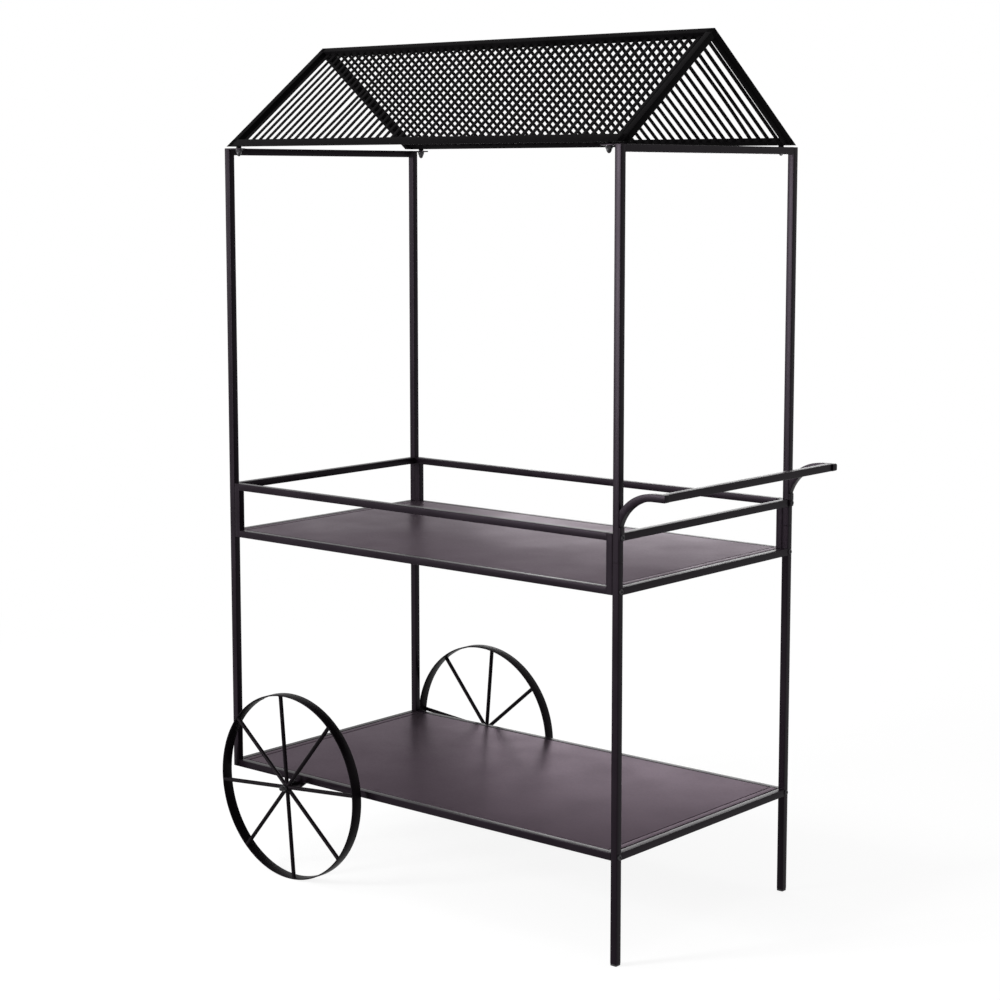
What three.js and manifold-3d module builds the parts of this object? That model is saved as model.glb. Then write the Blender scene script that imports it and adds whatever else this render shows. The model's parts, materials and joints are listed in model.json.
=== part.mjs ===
// Flower cart stand: a two-deck trolley of square steel tube under a gabled
// roof of flat bars, with two spoked wheels at its front end and a push
// handle at its rear end.
//
// Millimetres, +Z up, floor at z = 0. The front (wheel) end is at -X, the
// rear (handle) end at +X, the left side at -Y and the right side at +Y.
// Sizes below are given from the middle of the four posts; the whole cart is
// then moved along X, so that its origin lies under the middle of its length.

import * as THREE from 'three';
import { mergeVertices } from 'three/addons/utils/BufferGeometryUtils.js';
import Module from 'manifold-3d';

// ---------------------------------------------------------------- tube stock
const TUBE = 16; // outer side of the square frame tube
const WALL = 1.2; // its wall
const BORE = TUBE - 2 * WALL; // its inner side
const CORNER = 1; // its outer corner radius
const END_WALL = 2; // a welded closing plate in a tube end
const PLAY = 0.3; // gap left where a piece slips into or rests on another

// --------------------------------------------------------------- main levels
const HALF_LENGTH = 580.5; // middle to the outer face of an end post
const HALF_WIDTH = 322; // middle to the outer face of a side
const SHELF_TOP = 241;
const TRAY_TOP = 800;
const TRAY_RIM_TOP = 912;
const POST_SEAM = 852; // where the upper posts plug into the lower ones
const POST_TOP = 1698;

const POST_X = HALF_LENGTH - TUBE / 2;
const POST_Y = HALF_WIDTH - TUBE / 2;
const INNER_X = HALF_LENGTH - TUBE;
const INNER_Y = HALF_WIDTH - TUBE;
const SHELF_LEVEL = SHELF_TOP - TUBE / 2; // tube centres of the three levels
const TRAY_LEVEL = TRAY_TOP - TUBE / 2;
const RIM_LEVEL = TRAY_RIM_TOP - TUBE / 2;

const SPIGOT = 60; // length of the plug-in spigot, half of it in each post
const SPIGOT_BORE = 10;
const FRAME_GAP = 0.5; // between a post and the side rail bolted to it

// --------------------------------------------------------------------- decks
const DECK_GAP = 3; // between an end rung and the deck's own end rail
const PANEL_GROOVE = 2; // around the sheet panel
const PANEL_CORNER = 2; // radius of the panel's corners, seen from above
const SHEET = 1; // sheet thickness
const FOLD = 1.2; // radius of the panel's folded edge
const PANEL_DEPTH = 13; // height of the folded edge
const STRINGER = { width: 20, height: 12, offset: 110, wall: 1.2 };

// --------------------------------------------------------------- frame bolts
const BOLT = {
  shank: 3, headRadius: 5.8, land: 3.2, headHeight: 3.5, length: 24, socket: 4.6, socketDepth: 2,
};
const BOLT_HOLE = 3.3;
const ROUND_STEPS = 10; // facets of a small round
const DOME_STEPS = 3; // facets from a dome's rim to its top

// ---------------------------------------------------------------------- feet
const FOOT = { flange: 4, chamfer: 1, corner: 2, plug: 14 };

// -------------------------------------------------------------------- handle
const HANDLE = { outerRadius: 102.8, centreX: 664.6, top: 1002, end: 696, nose: 3, barFace: 692.5 };
const HANDLE_PLATE = { thickness: 3, bottom: 896, top: 926, corner: 3 };
const ARC_STEPS = 7; // half the facets of a handle arc

// -------------------------------------------------------------------- wheels
const AXLE_X = -362;
const WHEEL_RADIUS = 218;
const RIM = { width: 28, thickness: 3, centreY: 346, facets: 72 };
const SPOKES = { count: 8, radius: 4.75, centreY: 355.5, steps: 8 };
const HUB = { radius: 8.5, innerEnd: 328, outerEnd: 362 };
const AXLE = { radius: 4, halfLength: 371.5 };
const AXLE_BORE = 4.1; // running fit on the axle
const AXLE_FACETS = 20;
const LEFT_TURN = 5; // degrees that each wheel stands turned
const RIGHT_TURN = -5;
const BRACKET = {
  halfTop: 25, toe: 9.5, toeSteps: 4, innerFace: 311, outerFace: 317, boss: 6.5, bossEnd: 327.5,
};
const AXLE_NUT = {
  face: 362.3, hex: 13, hexHeight: 6.5, domeRadius: 6.2, domeLand: 1, height: 18, depth: 10, bore: 4.3,
};

// ---------------------------------------------------------------------- roof
const ROOF_HALF_LENGTH = 578.7;
const RIDGE_HEIGHT = 1942;
const EAVE_HEIGHT = 1702;
const EAVE_REACH = 318; // middle to the eave's sharp edge
const EAVE_FACE = 28; // outer face of the eave member, along the slope
const EAVE_DEPTH = 12;
const MEMBER_WALL = 1.5; // wall of the ridge and eave members
const BARS = { count: 48, pitch: 23.3, width: 10, thickness: 2, depth: 8, bite: 0.6 };
const TAB = { length: 37, thickness: 3, boltX: 542.5, boltY: 312 };
const EAVE_BOSS = { radius: 6, bore: 3.3, sink: 1 };
const CAP_BOLT = {
  washerRadius: 8.5, washer: 1.5, hex: 13, hexHeight: 6.5, domeRadius: 5.9, domeLand: 1, height: 15.7,
};

// ------------------------------------------------------------------ finishes
const FINISHES = {
  frameCoat: { color: 0x1d1b1e, roughness: 0.5, metalness: 0.3 },
  deckCoat: { color: 0x3b353b, roughness: 0.38, metalness: 0.3 },
  roofCoat: { color: 0x141315, roughness: 0.6, metalness: 0.3 },
  fastener: { color: 0x232226, roughness: 0.4, metalness: 0.6 },
  foot: { color: 0x161517, roughness: 0.7, metalness: 0 },
};

const HEX_SIDES = 6;
const HEX_TURN = 10; // degrees that every hexagon is turned about its bolt
const OVERSHOOT = 1; // how far a cutter runs past the face that it opens
const HALF_TURN = Math.PI; // radians, for geometries and groups
const QUARTER_TURN = Math.PI / 2;
const RIGHT_ANGLE = 90; // degrees, for solids
const FULL_CIRCLE = 360;

const wasm = await Module();
wasm.setup();

// ============================================================ solid modelling

/** A closed geometry as a solid that can be joined to and cut by others. */
function toSolid(geometry) {
  const bare = geometry.clone();
  bare.deleteAttribute('normal');
  bare.deleteAttribute('uv');
  const merged = mergeVertices(bare);
  const index = merged.index.array;
  const triangles = [];
  for (let i = 0; i < index.length; i += 3) {
    const [a, b, c] = [index[i], index[i + 1], index[i + 2]];
    if (a !== b && b !== c && c !== a) triangles.push(a, b, c);
  }
  const mesh = new wasm.Mesh({
    numProp: 3,
    vertProperties: merged.attributes.position.array,
    triVerts: new Uint32Array(triangles),
  });
  return new wasm.Manifold(mesh);
}

/** A solid as a geometry again, with flat faces. */
function toGeometry(solid) {
  const { vertProperties, triVerts } = solid.getMesh();
  const geometry = new THREE.BufferGeometry();
  geometry.setAttribute('position', new THREE.BufferAttribute(vertProperties, 3));
  geometry.setIndex(new THREE.BufferAttribute(triVerts, 1));
  geometry.computeVertexNormals();
  return geometry;
}

/** All solids of a list joined into one. */
function join(solids) {
  return solids.reduce((whole, piece) => whole.add(piece));
}

/** A block between two corners. */
function block([x0, y0, z0], [x1, y1, z1]) {
  const box = new THREE.BoxGeometry(x1 - x0, y1 - y0, z1 - z0);
  box.translate((x0 + x1) / 2, (y0 + y1) / 2, (z0 + z1) / 2);
  return toSolid(box);
}

/** A round pin along +Z, from z0 to z1. */
function pin(radius, z0, z1, steps = ROUND_STEPS) {
  const round = new THREE.CylinderGeometry(radius, radius, z1 - z0, steps);
  round.rotateX(QUARTER_TURN);
  round.translate(0, 0, (z0 + z1) / 2);
  return toSolid(round);
}

/** A hexagonal prism along +Z, sized across its flats. */
function hexPrism(acrossFlats, z0, z1) {
  const cornerRadius = acrossFlats / 2 / Math.cos(Math.PI / HEX_SIDES);
  return pin(cornerRadius, z0, z1, HEX_SIDES).rotate([0, 0, HEX_TURN]);
}

/** A body turned about +Z from a profile of [radius, z] points on the axis or closed. */
function turned(profile, steps = ROUND_STEPS) {
  const points = profile.map(([radius, z]) => new THREE.Vector2(radius, z));
  const lathe = new THREE.LatheGeometry(points, steps);
  lathe.rotateX(QUARTER_TURN);
  return toSolid(lathe);
}

/** A dome of [radius, z] points, from its rim at z0 over the edge of its flat land to the axis. */
function dome(radius, land, z0, height) {
  const curve = Array.from({ length: DOME_STEPS + 1 }, (_, i) => {
    const angle = (QUARTER_TURN * i) / DOME_STEPS;
    return [land + (radius - land) * Math.cos(angle), z0 + height * Math.sin(angle)];
  });
  return [...curve, [0, z0 + height]];
}

/** A rectangle centred on the origin, with round corners. */
function roundedRectangle(width, height, radius) {
  const [w, h] = [width / 2 - radius, height / 2 - radius];
  const outline = new THREE.Shape();
  outline.moveTo(-w, -h - radius);
  outline.lineTo(w, -h - radius);
  outline.absarc(w, -h, radius, -QUARTER_TURN, 0, false);
  outline.lineTo(w + radius, h);
  outline.absarc(w, h, radius, 0, QUARTER_TURN, false);
  outline.lineTo(-w, h + radius);
  outline.absarc(-w, h, radius, QUARTER_TURN, HALF_TURN, false);
  outline.lineTo(-w - radius, -h);
  outline.absarc(-w, -h, radius, HALF_TURN, HALF_TURN + QUARTER_TURN, false);
  return outline;
}

/** A shape pushed straight up from z = 0. */
function extruded(shape, depth, options = {}) {
  const settings = { depth, bevelEnabled: false, curveSegments: 1, ...options };
  return toSolid(new THREE.ExtrudeGeometry(shape, settings));
}

/** A shape drawn in X and Z, pushed along Y between two planes. */
function sidePlate(shape, y0, y1, curveSegments) {
  const plate = new THREE.ExtrudeGeometry(shape, { depth: y1 - y0, bevelEnabled: false, curveSegments });
  plate.rotateX(QUARTER_TURN);
  plate.translate(0, y1, 0);
  return toSolid(plate);
}

/** A bolt hole across a tube that stands along Z, through both walls or only through the +X one. */
function crossHole(z, throughBoth) {
  const length = throughBoth ? TUBE + 2 * OVERSHOOT : TUBE;
  const hole = new THREE.CylinderGeometry(BOLT_HOLE, BOLT_HOLE, length, ROUND_STEPS);
  hole.rotateZ(QUARTER_TURN);
  hole.translate(throughBoth ? 0 : TUBE / 2, 0, z);
  return toSolid(hole);
}

/** Square tube along +Z from 0 to a length, with a closing wall at either end where one is given. */
function squareTube(length, startWall = 0, endWall = 0) {
  const skin = extruded(roundedRectangle(TUBE, TUBE, CORNER), length);
  const from = startWall > 0 ? startWall : -OVERSHOOT;
  const to = endWall > 0 ? length - endWall : length + OVERSHOOT;
  return skin.subtract(block([-BORE / 2, -BORE / 2, from], [BORE / 2, BORE / 2, to]));
}

// ===================================================================== pieces

/** A lower post: a foot or a closed end below, an open socket for the upper post's spigot above. */
function lowerPost(bottom, closedBelow) {
  const tube = squareTube(POST_SEAM - bottom, closedBelow ? END_WALL : 0);
  return [SHELF_LEVEL, TRAY_LEVEL].reduce(
    (post, level) => post.subtract(crossHole(level - bottom, true)),
    tube,
  );
}

/** An upper post with its spigot below and the roof's tab at its top, pointing to -X.
 *  The tab's hole lies a little off its middle, towards +Y or -Y. */
function upperPost(holeSide) {
  const height = POST_TOP - POST_SEAM;
  const tube = squareTube(height, 0, END_WALL).subtract(crossHole(RIM_LEVEL - POST_SEAM, true));
  const loose = BORE / 2 - PLAY;
  const tight = BORE / 2 + WALL / 4;
  const spigot = join([
    block([-loose, -loose, -SPIGOT / 2], [loose, loose, END_WALL]),
    block([-tight, -tight, 0], [tight, tight, SPIGOT / 2]),
  ]);
  const half = SPIGOT_BORE / 2;
  const lightening = block([-half, -half, -SPIGOT / 2 - OVERSHOOT], [half, half, SPIGOT / 2 + OVERSHOOT]);
  const tabRoot = -TUBE / 2 + WALL / 2;
  const tabEnd = -TUBE / 2 - TAB.length;
  const tab = block([tabEnd, -TUBE / 2, height - TAB.thickness], [tabRoot, TUBE / 2, height]);
  const tabHole = pin(BOLT_HOLE, height - TAB.thickness - OVERSHOOT, height + OVERSHOOT)
    .translate(TAB.boltX - POST_X, holeSide * (POST_Y - TAB.boltY), 0);
  return tube.add(spigot).subtract(lightening).add(tab.subtract(tabHole));
}

/** A short upright of the tray's side frame, with a threaded hole at each level on its +X face. */
function trayUpright() {
  const bottom = TRAY_TOP - TUBE;
  const tube = squareTube(TRAY_RIM_TOP - bottom, END_WALL, END_WALL);
  return tube
    .subtract(crossHole(TRAY_LEVEL - bottom, false))
    .subtract(crossHole(RIM_LEVEL - bottom, false));
}

/** A shelf side rail: its ends are closed by threaded plugs that the lower bolts enter. */
function shelfSideRail(length) {
  const plugWall = 2 * END_WALL;
  const tube = squareTube(length, plugWall, plugWall);
  return tube
    .subtract(pin(BOLT_HOLE, -OVERSHOOT, plugWall + OVERSHOOT))
    .subtract(pin(BOLT_HOLE, length - plugWall - OVERSHOOT, length + OVERSHOOT));
}

/** A deck, its top at z = 0: a folded sheet panel on two channels, between two end rails of tube. */
function deck() {
  const railOuter = INNER_X - DECK_GAP;
  const railInner = railOuter - TUBE;
  const panelX = railInner - PANEL_GROOVE;
  const panelY = INNER_Y - PANEL_GROOVE;
  const bevel = { bevelThickness: FOLD, bevelSize: FOLD, bevelOffset: -FOLD, bevelSegments: 2 };
  const outline = roundedRectangle(2 * panelX, 2 * panelY, PANEL_CORNER);
  const folded = extruded(outline, PANEL_DEPTH, { bevelEnabled: true, ...bevel })
    .translate(0, 0, -PANEL_DEPTH - FOLD);
  const below = block([-railInner, -INNER_Y, -2 * PANEL_DEPTH], [railInner, INNER_Y, -PANEL_DEPTH]);
  const [hollowX, hollowY] = [panelX - SHEET, panelY - SHEET];
  const inside = block([-hollowX, -hollowY, -2 * PANEL_DEPTH], [hollowX, hollowY, -SHEET]);
  const panel = folded.subtract(below).subtract(inside);

  const { width, height, offset, wall } = STRINGER;
  const top = -SHEET / 2;
  const reach = railInner + WALL / 2;
  const channel = block([-reach, -width / 2, top - height], [reach, width / 2, top]).subtract(
    block([-reach - OVERSHOOT, wall - width / 2, top - height - OVERSHOOT],
      [reach + OVERSHOOT, width / 2 - wall, top - wall]),
  );
  const channels = [-offset, offset].map((y) => channel.translate(0, y, 0));

  const railLength = 2 * (INNER_Y - PLAY);
  const rail = squareTube(railLength)
    .rotate([-RIGHT_ANGLE, 0, 0])
    .translate(0, -railLength / 2, -TUBE / 2);
  const rails = [-1, 1].map((end) => rail.translate(end * (railOuter - TUBE / 2), 0, 0));
  return join([panel, ...channels, ...rails]);
}

/** A button-head bolt with a hexagon socket: its head under z = 0, its shank along +Z. */
function frameBolt(length) {
  const { shank, headRadius, land, headHeight, socket, socketDepth } = BOLT;
  const head = dome(headRadius, land, 0, headHeight).map(([radius, z]) => [radius, -z]).reverse();
  const body = turned([...head, [shank, 0], [shank, length], [0, length]]);
  return body.subtract(hexPrism(socket, -headHeight - OVERSHOOT, socketDepth - headHeight));
}

/** The roof's cap bolt: a domed hexagon and washer under z = 0, its short shank along +Z. */
function capBolt(shankLength) {
  const { washerRadius, washer, hex, hexHeight, domeRadius, domeLand, height } = CAP_BOLT;
  const cap = dome(domeRadius, domeLand, hexHeight, height - hexHeight)
    .map(([radius, z]) => [radius, -z])
    .reverse();
  return join([
    turned([...cap, [domeRadius, -washer / 2], [0, -washer / 2]]),
    hexPrism(hex, -hexHeight, -washer / 2),
    turned([[0, -washer], [washerRadius, -washer], [washerRadius, 0], [0, 0]]),
    pin(BOLT.shank, -washer / 2, shankLength),
  ]);
}

/** A plastic foot: a flange under the post and a plug inside it. */
function foot() {
  const { flange, chamfer, corner, plug } = FOOT;
  const bevel = { bevelThickness: chamfer, bevelSize: chamfer, bevelOffset: -chamfer, bevelSegments: 1 };
  const outline = roundedRectangle(TUBE, TUBE, corner);
  const sole = extruded(outline, flange - chamfer, { bevelEnabled: true, ...bevel })
    .translate(0, 0, chamfer);
  const half = BORE / 2 - PLAY;
  const trimmed = sole.subtract(block([-TUBE, -TUBE, flange], [TUBE, TUBE, 2 * flange]));
  return trimmed.add(block([-half, -half, chamfer], [half, half, flange + plug]));
}

/** The side view of a handle arm: a quarter ring that leaves the post, then a short straight with
 *  an eased nose. */
function armOutline(inset) {
  const { outerRadius, centreX, top, end } = HANDLE;
  const centreZ = top - outerRadius;
  const outer = outerRadius - inset;
  const inner = outerRadius - TUBE + inset;
  const nose = HANDLE.nose - inset;
  const base = HALF_LENGTH - (inset > 0 ? OVERSHOOT : 0);
  const angleAt = (radius) => Math.acos((base - centreX) / radius);
  const outline = new THREE.Shape();
  outline.absarc(centreX, centreZ, inner, angleAt(inner), QUARTER_TURN, true);
  outline.lineTo(end - inset - nose, centreZ + inner);
  outline.lineTo(end - inset, centreZ + inner + nose);
  outline.lineTo(end - inset, centreZ + outer - nose);
  outline.lineTo(end - inset - nose, centreZ + outer);
  outline.lineTo(centreX, centreZ + outer);
  outline.absarc(centreX, centreZ, outer, QUARTER_TURN, angleAt(outer), false);
  return outline;
}

/** A handle arm of bent tube, centred on y = 0, with the plate that its bolt holds to the post. */
function handleArm() {
  const { thickness, bottom, top, corner } = HANDLE_PLATE;
  const skin = sidePlate(armOutline(0), -TUBE / 2, TUBE / 2, ARC_STEPS);
  const bore = sidePlate(armOutline(WALL), -BORE / 2, BORE / 2, ARC_STEPS);
  const plate = extruded(roundedRectangle(top - bottom, TUBE, corner), thickness)
    .rotate([0, RIGHT_ANGLE, 0])
    .translate(HALF_LENGTH, 0, (top + bottom) / 2);
  const hole = pin(BOLT_HOLE, -OVERSHOOT, thickness + OVERSHOOT)
    .rotate([0, RIGHT_ANGLE, 0])
    .translate(HALF_LENGTH, 0, RIM_LEVEL);
  return skin.subtract(bore).add(plate).subtract(hole);
}

/** A wheel's flat-bar rim, turned about Z and centred on its width. */
function wheelRim() {
  const half = RIM.width / 2;
  const inner = WHEEL_RADIUS - RIM.thickness;
  const start = [inner, -half];
  return turned([start, [WHEEL_RADIUS, -half], [WHEEL_RADIUS, half], [inner, half], start], RIM.facets);
}

/** A wheel's hub and spokes about Z; z runs outward from the middle of the rim's width. */
function wheelSpokes() {
  const z0 = HUB.innerEnd - RIM.centreY;
  const z1 = HUB.outerEnd - RIM.centreY;
  const blank = pin(HUB.radius, z0, z1, AXLE_FACETS);
  const reach = WHEEL_RADIUS - RIM.thickness - PLAY;
  const spoke = pin(SPOKES.radius, HUB.radius / 2, reach, SPOKES.steps)
    .rotate([0, RIGHT_ANGLE, 0])
    .translate(0, 0, SPOKES.centreY - RIM.centreY);
  const star = Array.from({ length: SPOKES.count }, (_, i) => (
    spoke.rotate([0, 0, (FULL_CIRCLE * i) / SPOKES.count])
  ));
  return join([blank, ...star]).subtract(pin(AXLE_BORE, z0 - OVERSHOOT, z1 + OVERSHOOT, AXLE_FACETS));
}

/** An axle bracket on the right: a tapered plate under the side rail and a boss that spaces the wheel. */
function axleBracket() {
  const { halfTop, toe, toeSteps, innerFace, outerFace, boss, bossEnd } = BRACKET;
  const top = SHELF_TOP - TUBE - WHEEL_RADIUS;
  const cornerAngle = Math.atan2(top, halfTop);
  const tangent = Math.acos(toe / Math.hypot(halfTop, top));
  const outline = new THREE.Shape();
  outline.moveTo(-halfTop, top);
  const start = HALF_TURN - cornerAngle + tangent;
  const end = 2 * HALF_TURN + cornerAngle - tangent;
  outline.absarc(0, 0, toe, start, end, false);
  outline.lineTo(halfTop, top);
  const plate = sidePlate(outline, innerFace, outerFace, toeSteps);
  const length = bossEnd - innerFace;
  const [sleeve, bore] = [
    pin(boss, 0, length, AXLE_FACETS),
    pin(AXLE_BORE, -OVERSHOOT, length + OVERSHOOT, AXLE_FACETS),
  ].map((round) => round.rotate([-RIGHT_ANGLE, 0, 0]).translate(0, innerFace, 0));
  return plate.add(sleeve).subtract(bore);
}

/** A domed axle nut: its seat at z = 0, its cap at +Z, and a blind bore for the axle's end. */
function axleNut() {
  const { hex, hexHeight, domeRadius, domeLand, height, depth, bore } = AXLE_NUT;
  const base = [[0, hexHeight / 2], [domeRadius, hexHeight / 2]];
  const cap = turned([...base, ...dome(domeRadius, domeLand, hexHeight, height - hexHeight)]);
  return cap.add(hexPrism(hex, 0, hexHeight)).subtract(pin(bore, -OVERSHOOT, depth));
}

// ======================================================================= roof

const SLOPE_LENGTH = Math.hypot(EAVE_REACH, RIDGE_HEIGHT - EAVE_HEIGHT);
const SLOPE_COS = EAVE_REACH / SLOPE_LENGTH;
const SLOPE_SIN = (RIDGE_HEIGHT - EAVE_HEIGHT) / SLOPE_LENGTH;

/** A point of the right slope's section, from its distance down the slope and its depth below it. */
function slopePoint(down, depth) {
  return new THREE.Vector2(
    down * SLOPE_COS - depth * SLOPE_SIN,
    RIDGE_HEIGHT - down * SLOPE_SIN - depth * SLOPE_COS,
  );
}

/** How far down the slope a depth line meets the level cut of the eave. */
function downAtEave(depth, level = EAVE_HEIGHT) {
  return (RIDGE_HEIGHT - level - depth * SLOPE_COS) / SLOPE_SIN;
}

/** How far down the slope a depth line leaves the upright mitre plane at the ridge. */
function downAtRidge(depth) {
  return (PLAY / 2 + depth * SLOPE_SIN) / SLOPE_COS;
}

/** A convex section with each side moved inwards by its own wall. */
function shrunk(points, walls) {
  const count = points.length;
  const lines = points.map((start, i) => {
    const along = points[(i + 1) % count].clone().sub(start).normalize();
    const inward = new THREE.Vector2(-along.y, along.x);
    return { start: start.clone().addScaledVector(inward, walls[i]), along };
  });
  return lines.map((line, i) => {
    const before = lines[(i + count - 1) % count];
    const offset = line.start.clone().sub(before.start);
    const reach = offset.cross(line.along) / before.along.cross(line.along);
    return before.start.clone().addScaledVector(before.along, reach);
  });
}

/** A section in Y and Z, pushed along X between two planes. */
function prism(points, x0, x1) {
  return extruded(new THREE.Shape(points), x1 - x0)
    .transform([0, 1, 0, 0, 0, 0, 1, 0, 1, 0, 0, 0, x0, 0, 0, 1]);
}

/** The right slope: a welded frame of tube, filled with flat bars that run down the slope. */
function roofSlope() {
  const eaveTop = SLOPE_LENGTH - EAVE_FACE;
  const tip = slopePoint(SLOPE_LENGTH, 0);
  const apex = slopePoint(downAtRidge(0), 0);
  const ridgeOuter = slopePoint(TUBE, 0);
  const ridgeInner = slopePoint(TUBE, TUBE);
  const mitreFoot = slopePoint(downAtRidge(TUBE), TUBE);
  const eaveOuter = slopePoint(eaveTop, 0);
  const rafterFoot = slopePoint(downAtEave(TUBE), TUBE);
  const ridge = [ridgeOuter, apex, mitreFoot, ridgeInner];
  const eaveInner = slopePoint(eaveTop, EAVE_DEPTH);
  const eaveFoot = slopePoint(downAtEave(EAVE_DEPTH), EAVE_DEPTH);
  const eave = [tip, eaveOuter, eaveInner, eaveFoot];
  const rafter = [tip, eaveOuter, ridgeOuter, apex, mitreFoot, ridgeInner, rafterFoot];
  const rafterBore = shrunk([tip, apex, mitreFoot, rafterFoot], [WALL, WALL, WALL, -OVERSHOOT]);
  const even = Array(ridge.length).fill(MEMBER_WALL);

  const boreX = ROOF_HALF_LENGTH - TUBE / 2;
  const starts = [-ROOF_HALF_LENGTH, ROOF_HALF_LENGTH - TUBE];
  const skin = join([
    prism(ridge, -ROOF_HALF_LENGTH, ROOF_HALF_LENGTH),
    prism(eave, -ROOF_HALF_LENGTH, ROOF_HALF_LENGTH),
    ...starts.map((x) => prism(rafter, x, x + TUBE)),
  ]);
  const bores = join([
    prism(shrunk(ridge, even), -boreX, boreX),
    prism(shrunk(eave, even), -boreX, boreX),
    ...starts.map((x) => prism(rafterBore, x + WALL, x + TUBE - WALL)),
  ]);

  const [barStart, barEnd] = [TUBE - BARS.bite, eaveTop + BARS.bite];
  const [barTop, barBottom] = [BARS.depth - BARS.thickness / 2, BARS.depth + BARS.thickness / 2];
  const barSide = [
    slopePoint(barEnd, barTop),
    slopePoint(barStart, barTop),
    slopePoint(barStart, barBottom),
    slopePoint(barEnd, barBottom),
  ];
  const bar = prism(barSide, -BARS.width / 2, BARS.width / 2);
  const bars = Array.from({ length: BARS.count }, (_, i) => (
    bar.translate((i - (BARS.count - 1) / 2) * BARS.pitch, 0, 0)
  ));

  const bosses = [-TAB.boltX, TAB.boltX].map((x) => (
    pin(EAVE_BOSS.radius, POST_TOP + PLAY, EAVE_HEIGHT + EAVE_BOSS.sink).translate(x, TAB.boltY, 0)
  ));
  const threads = [-TAB.boltX, TAB.boltX].map((x) => (
    pin(EAVE_BOSS.bore, POST_TOP - OVERSHOOT, EAVE_HEIGHT + EAVE_BOSS.sink).translate(x, TAB.boltY, 0)
  ));
  return join([skin.subtract(bores), ...bars, ...bosses]).subtract(join(threads));
}

// =================================================================== assembly

const cart = new THREE.Group();
cart.position.x = -(HANDLE.end - HALF_LENGTH - BOLT.headHeight) / 2;

/** A group inside another one, at a place and turned. */
function subGroup(parent, position = [0, 0, 0], rotation = [0, 0, 0]) {
  const group = new THREE.Group();
  group.position.set(...position);
  group.rotation.set(...rotation);
  parent.add(group);
  return group;
}

/** A named piece with a finish of its own, at a place and turned. */
function addPiece(parent, name, solid, finish, position = [0, 0, 0], rotation = [0, 0, 0]) {
  const piece = new THREE.Mesh(toGeometry(solid), new THREE.MeshStandardMaterial(finish));
  piece.name = name;
  piece.position.set(...position);
  piece.rotation.set(...rotation);
  parent.add(piece);
}

const ENDS = [{ end: 'front', alongX: -1, turn: HALF_TURN }, { end: 'rear', alongX: 1, turn: 0 }];
const SIDES = [{ side: 'left', alongY: -1 }, { side: 'right', alongY: 1 }];
const CORNERS = ENDS.flatMap((e) => SIDES.map((s) => ({ ...e, ...s, corner: `${e.end}_${s.side}` })));
const ALONG_X = [0, QUARTER_TURN, 0]; // turns a piece made along +Z
const ALONG_Y = [-QUARTER_TURN, 0, 0];

/** The four posts in two lengths each, and the feet under the rear ones. */
function addPosts() {
  const frontBottom = SHELF_TOP - TUBE;
  const lower = { front: lowerPost(frontBottom, true), rear: lowerPost(FOOT.flange, false) };
  const bottom = { front: frontBottom, rear: FOOT.flange };
  const upper = { [-1]: upperPost(-1), [1]: upperPost(1) };
  const sole = foot();
  for (const { end, alongX, alongY, turn, corner, side } of CORNERS) {
    const [x, y] = [alongX * POST_X, alongY * POST_Y];
    const facing = [0, 0, turn];
    addPiece(cart, `lower_post_${corner}`, lower[end], FINISHES.frameCoat, [x, y, bottom[end]], facing);
    const tabbed = upper[-alongX * alongY];
    addPiece(cart, `upper_post_${corner}`, tabbed, FINISHES.frameCoat, [x, y, POST_SEAM], facing);
    if (end === 'rear') addPiece(cart, `foot_rear_${side}`, sole, FINISHES.foot, [x, y, 0]);
  }
}

/** The cross tubes of both end frames: three rungs and the bar at the posts' tops. */
function addEndRungs() {
  const rung = squareTube(2 * INNER_Y);
  const levels = {
    shelf_rung: SHELF_LEVEL,
    tray_lower_rung: TRAY_LEVEL,
    tray_upper_rung: RIM_LEVEL,
    top_bar: POST_TOP - TUBE / 2,
  };
  for (const { end, alongX } of ENDS) {
    for (const [name, level] of Object.entries(levels)) {
      const place = [alongX * POST_X, -INNER_Y, level];
      addPiece(cart, `${name}_${end}`, rung, FINISHES.frameCoat, place, ALONG_Y);
    }
  }
}

/** Both long side frames of the tray, and its deck. */
function addTray() {
  const uprightX = INNER_X - FRAME_GAP - TUBE / 2;
  const railReach = uprightX - TUBE / 2;
  const rail = squareTube(2 * railReach);
  const upright = trayUpright();
  for (const { side, alongY } of SIDES) {
    const above = [-railReach, alongY * POST_Y, RIM_LEVEL];
    const below = [-railReach, alongY * POST_Y, TRAY_LEVEL];
    addPiece(cart, `tray_top_rail_${side}`, rail, FINISHES.frameCoat, above, ALONG_X);
    addPiece(cart, `tray_bottom_rail_${side}`, rail, FINISHES.frameCoat, below, ALONG_X);
  }
  for (const { alongX, alongY, turn, corner } of CORNERS) {
    const place = [alongX * uprightX, alongY * POST_Y, TRAY_TOP - TUBE];
    addPiece(cart, `tray_upright_${corner}`, upright, FINISHES.frameCoat, place, [0, 0, turn]);
  }
  addPiece(cart, 'tray_deck', deck(), FINISHES.deckCoat, [0, 0, TRAY_TOP]);
}

/** The shelf: two side rails and its deck. */
function addShelf() {
  const reach = INNER_X - FRAME_GAP;
  const rail = shelfSideRail(2 * reach);
  for (const { side, alongY } of SIDES) {
    const place = [-reach, alongY * POST_Y, SHELF_LEVEL];
    addPiece(cart, `shelf_side_rail_${side}`, rail, FINISHES.frameCoat, place, ALONG_X);
  }
  addPiece(cart, 'shelf_deck', deck(), FINISHES.deckCoat, [0, 0, SHELF_TOP]);
}

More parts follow.
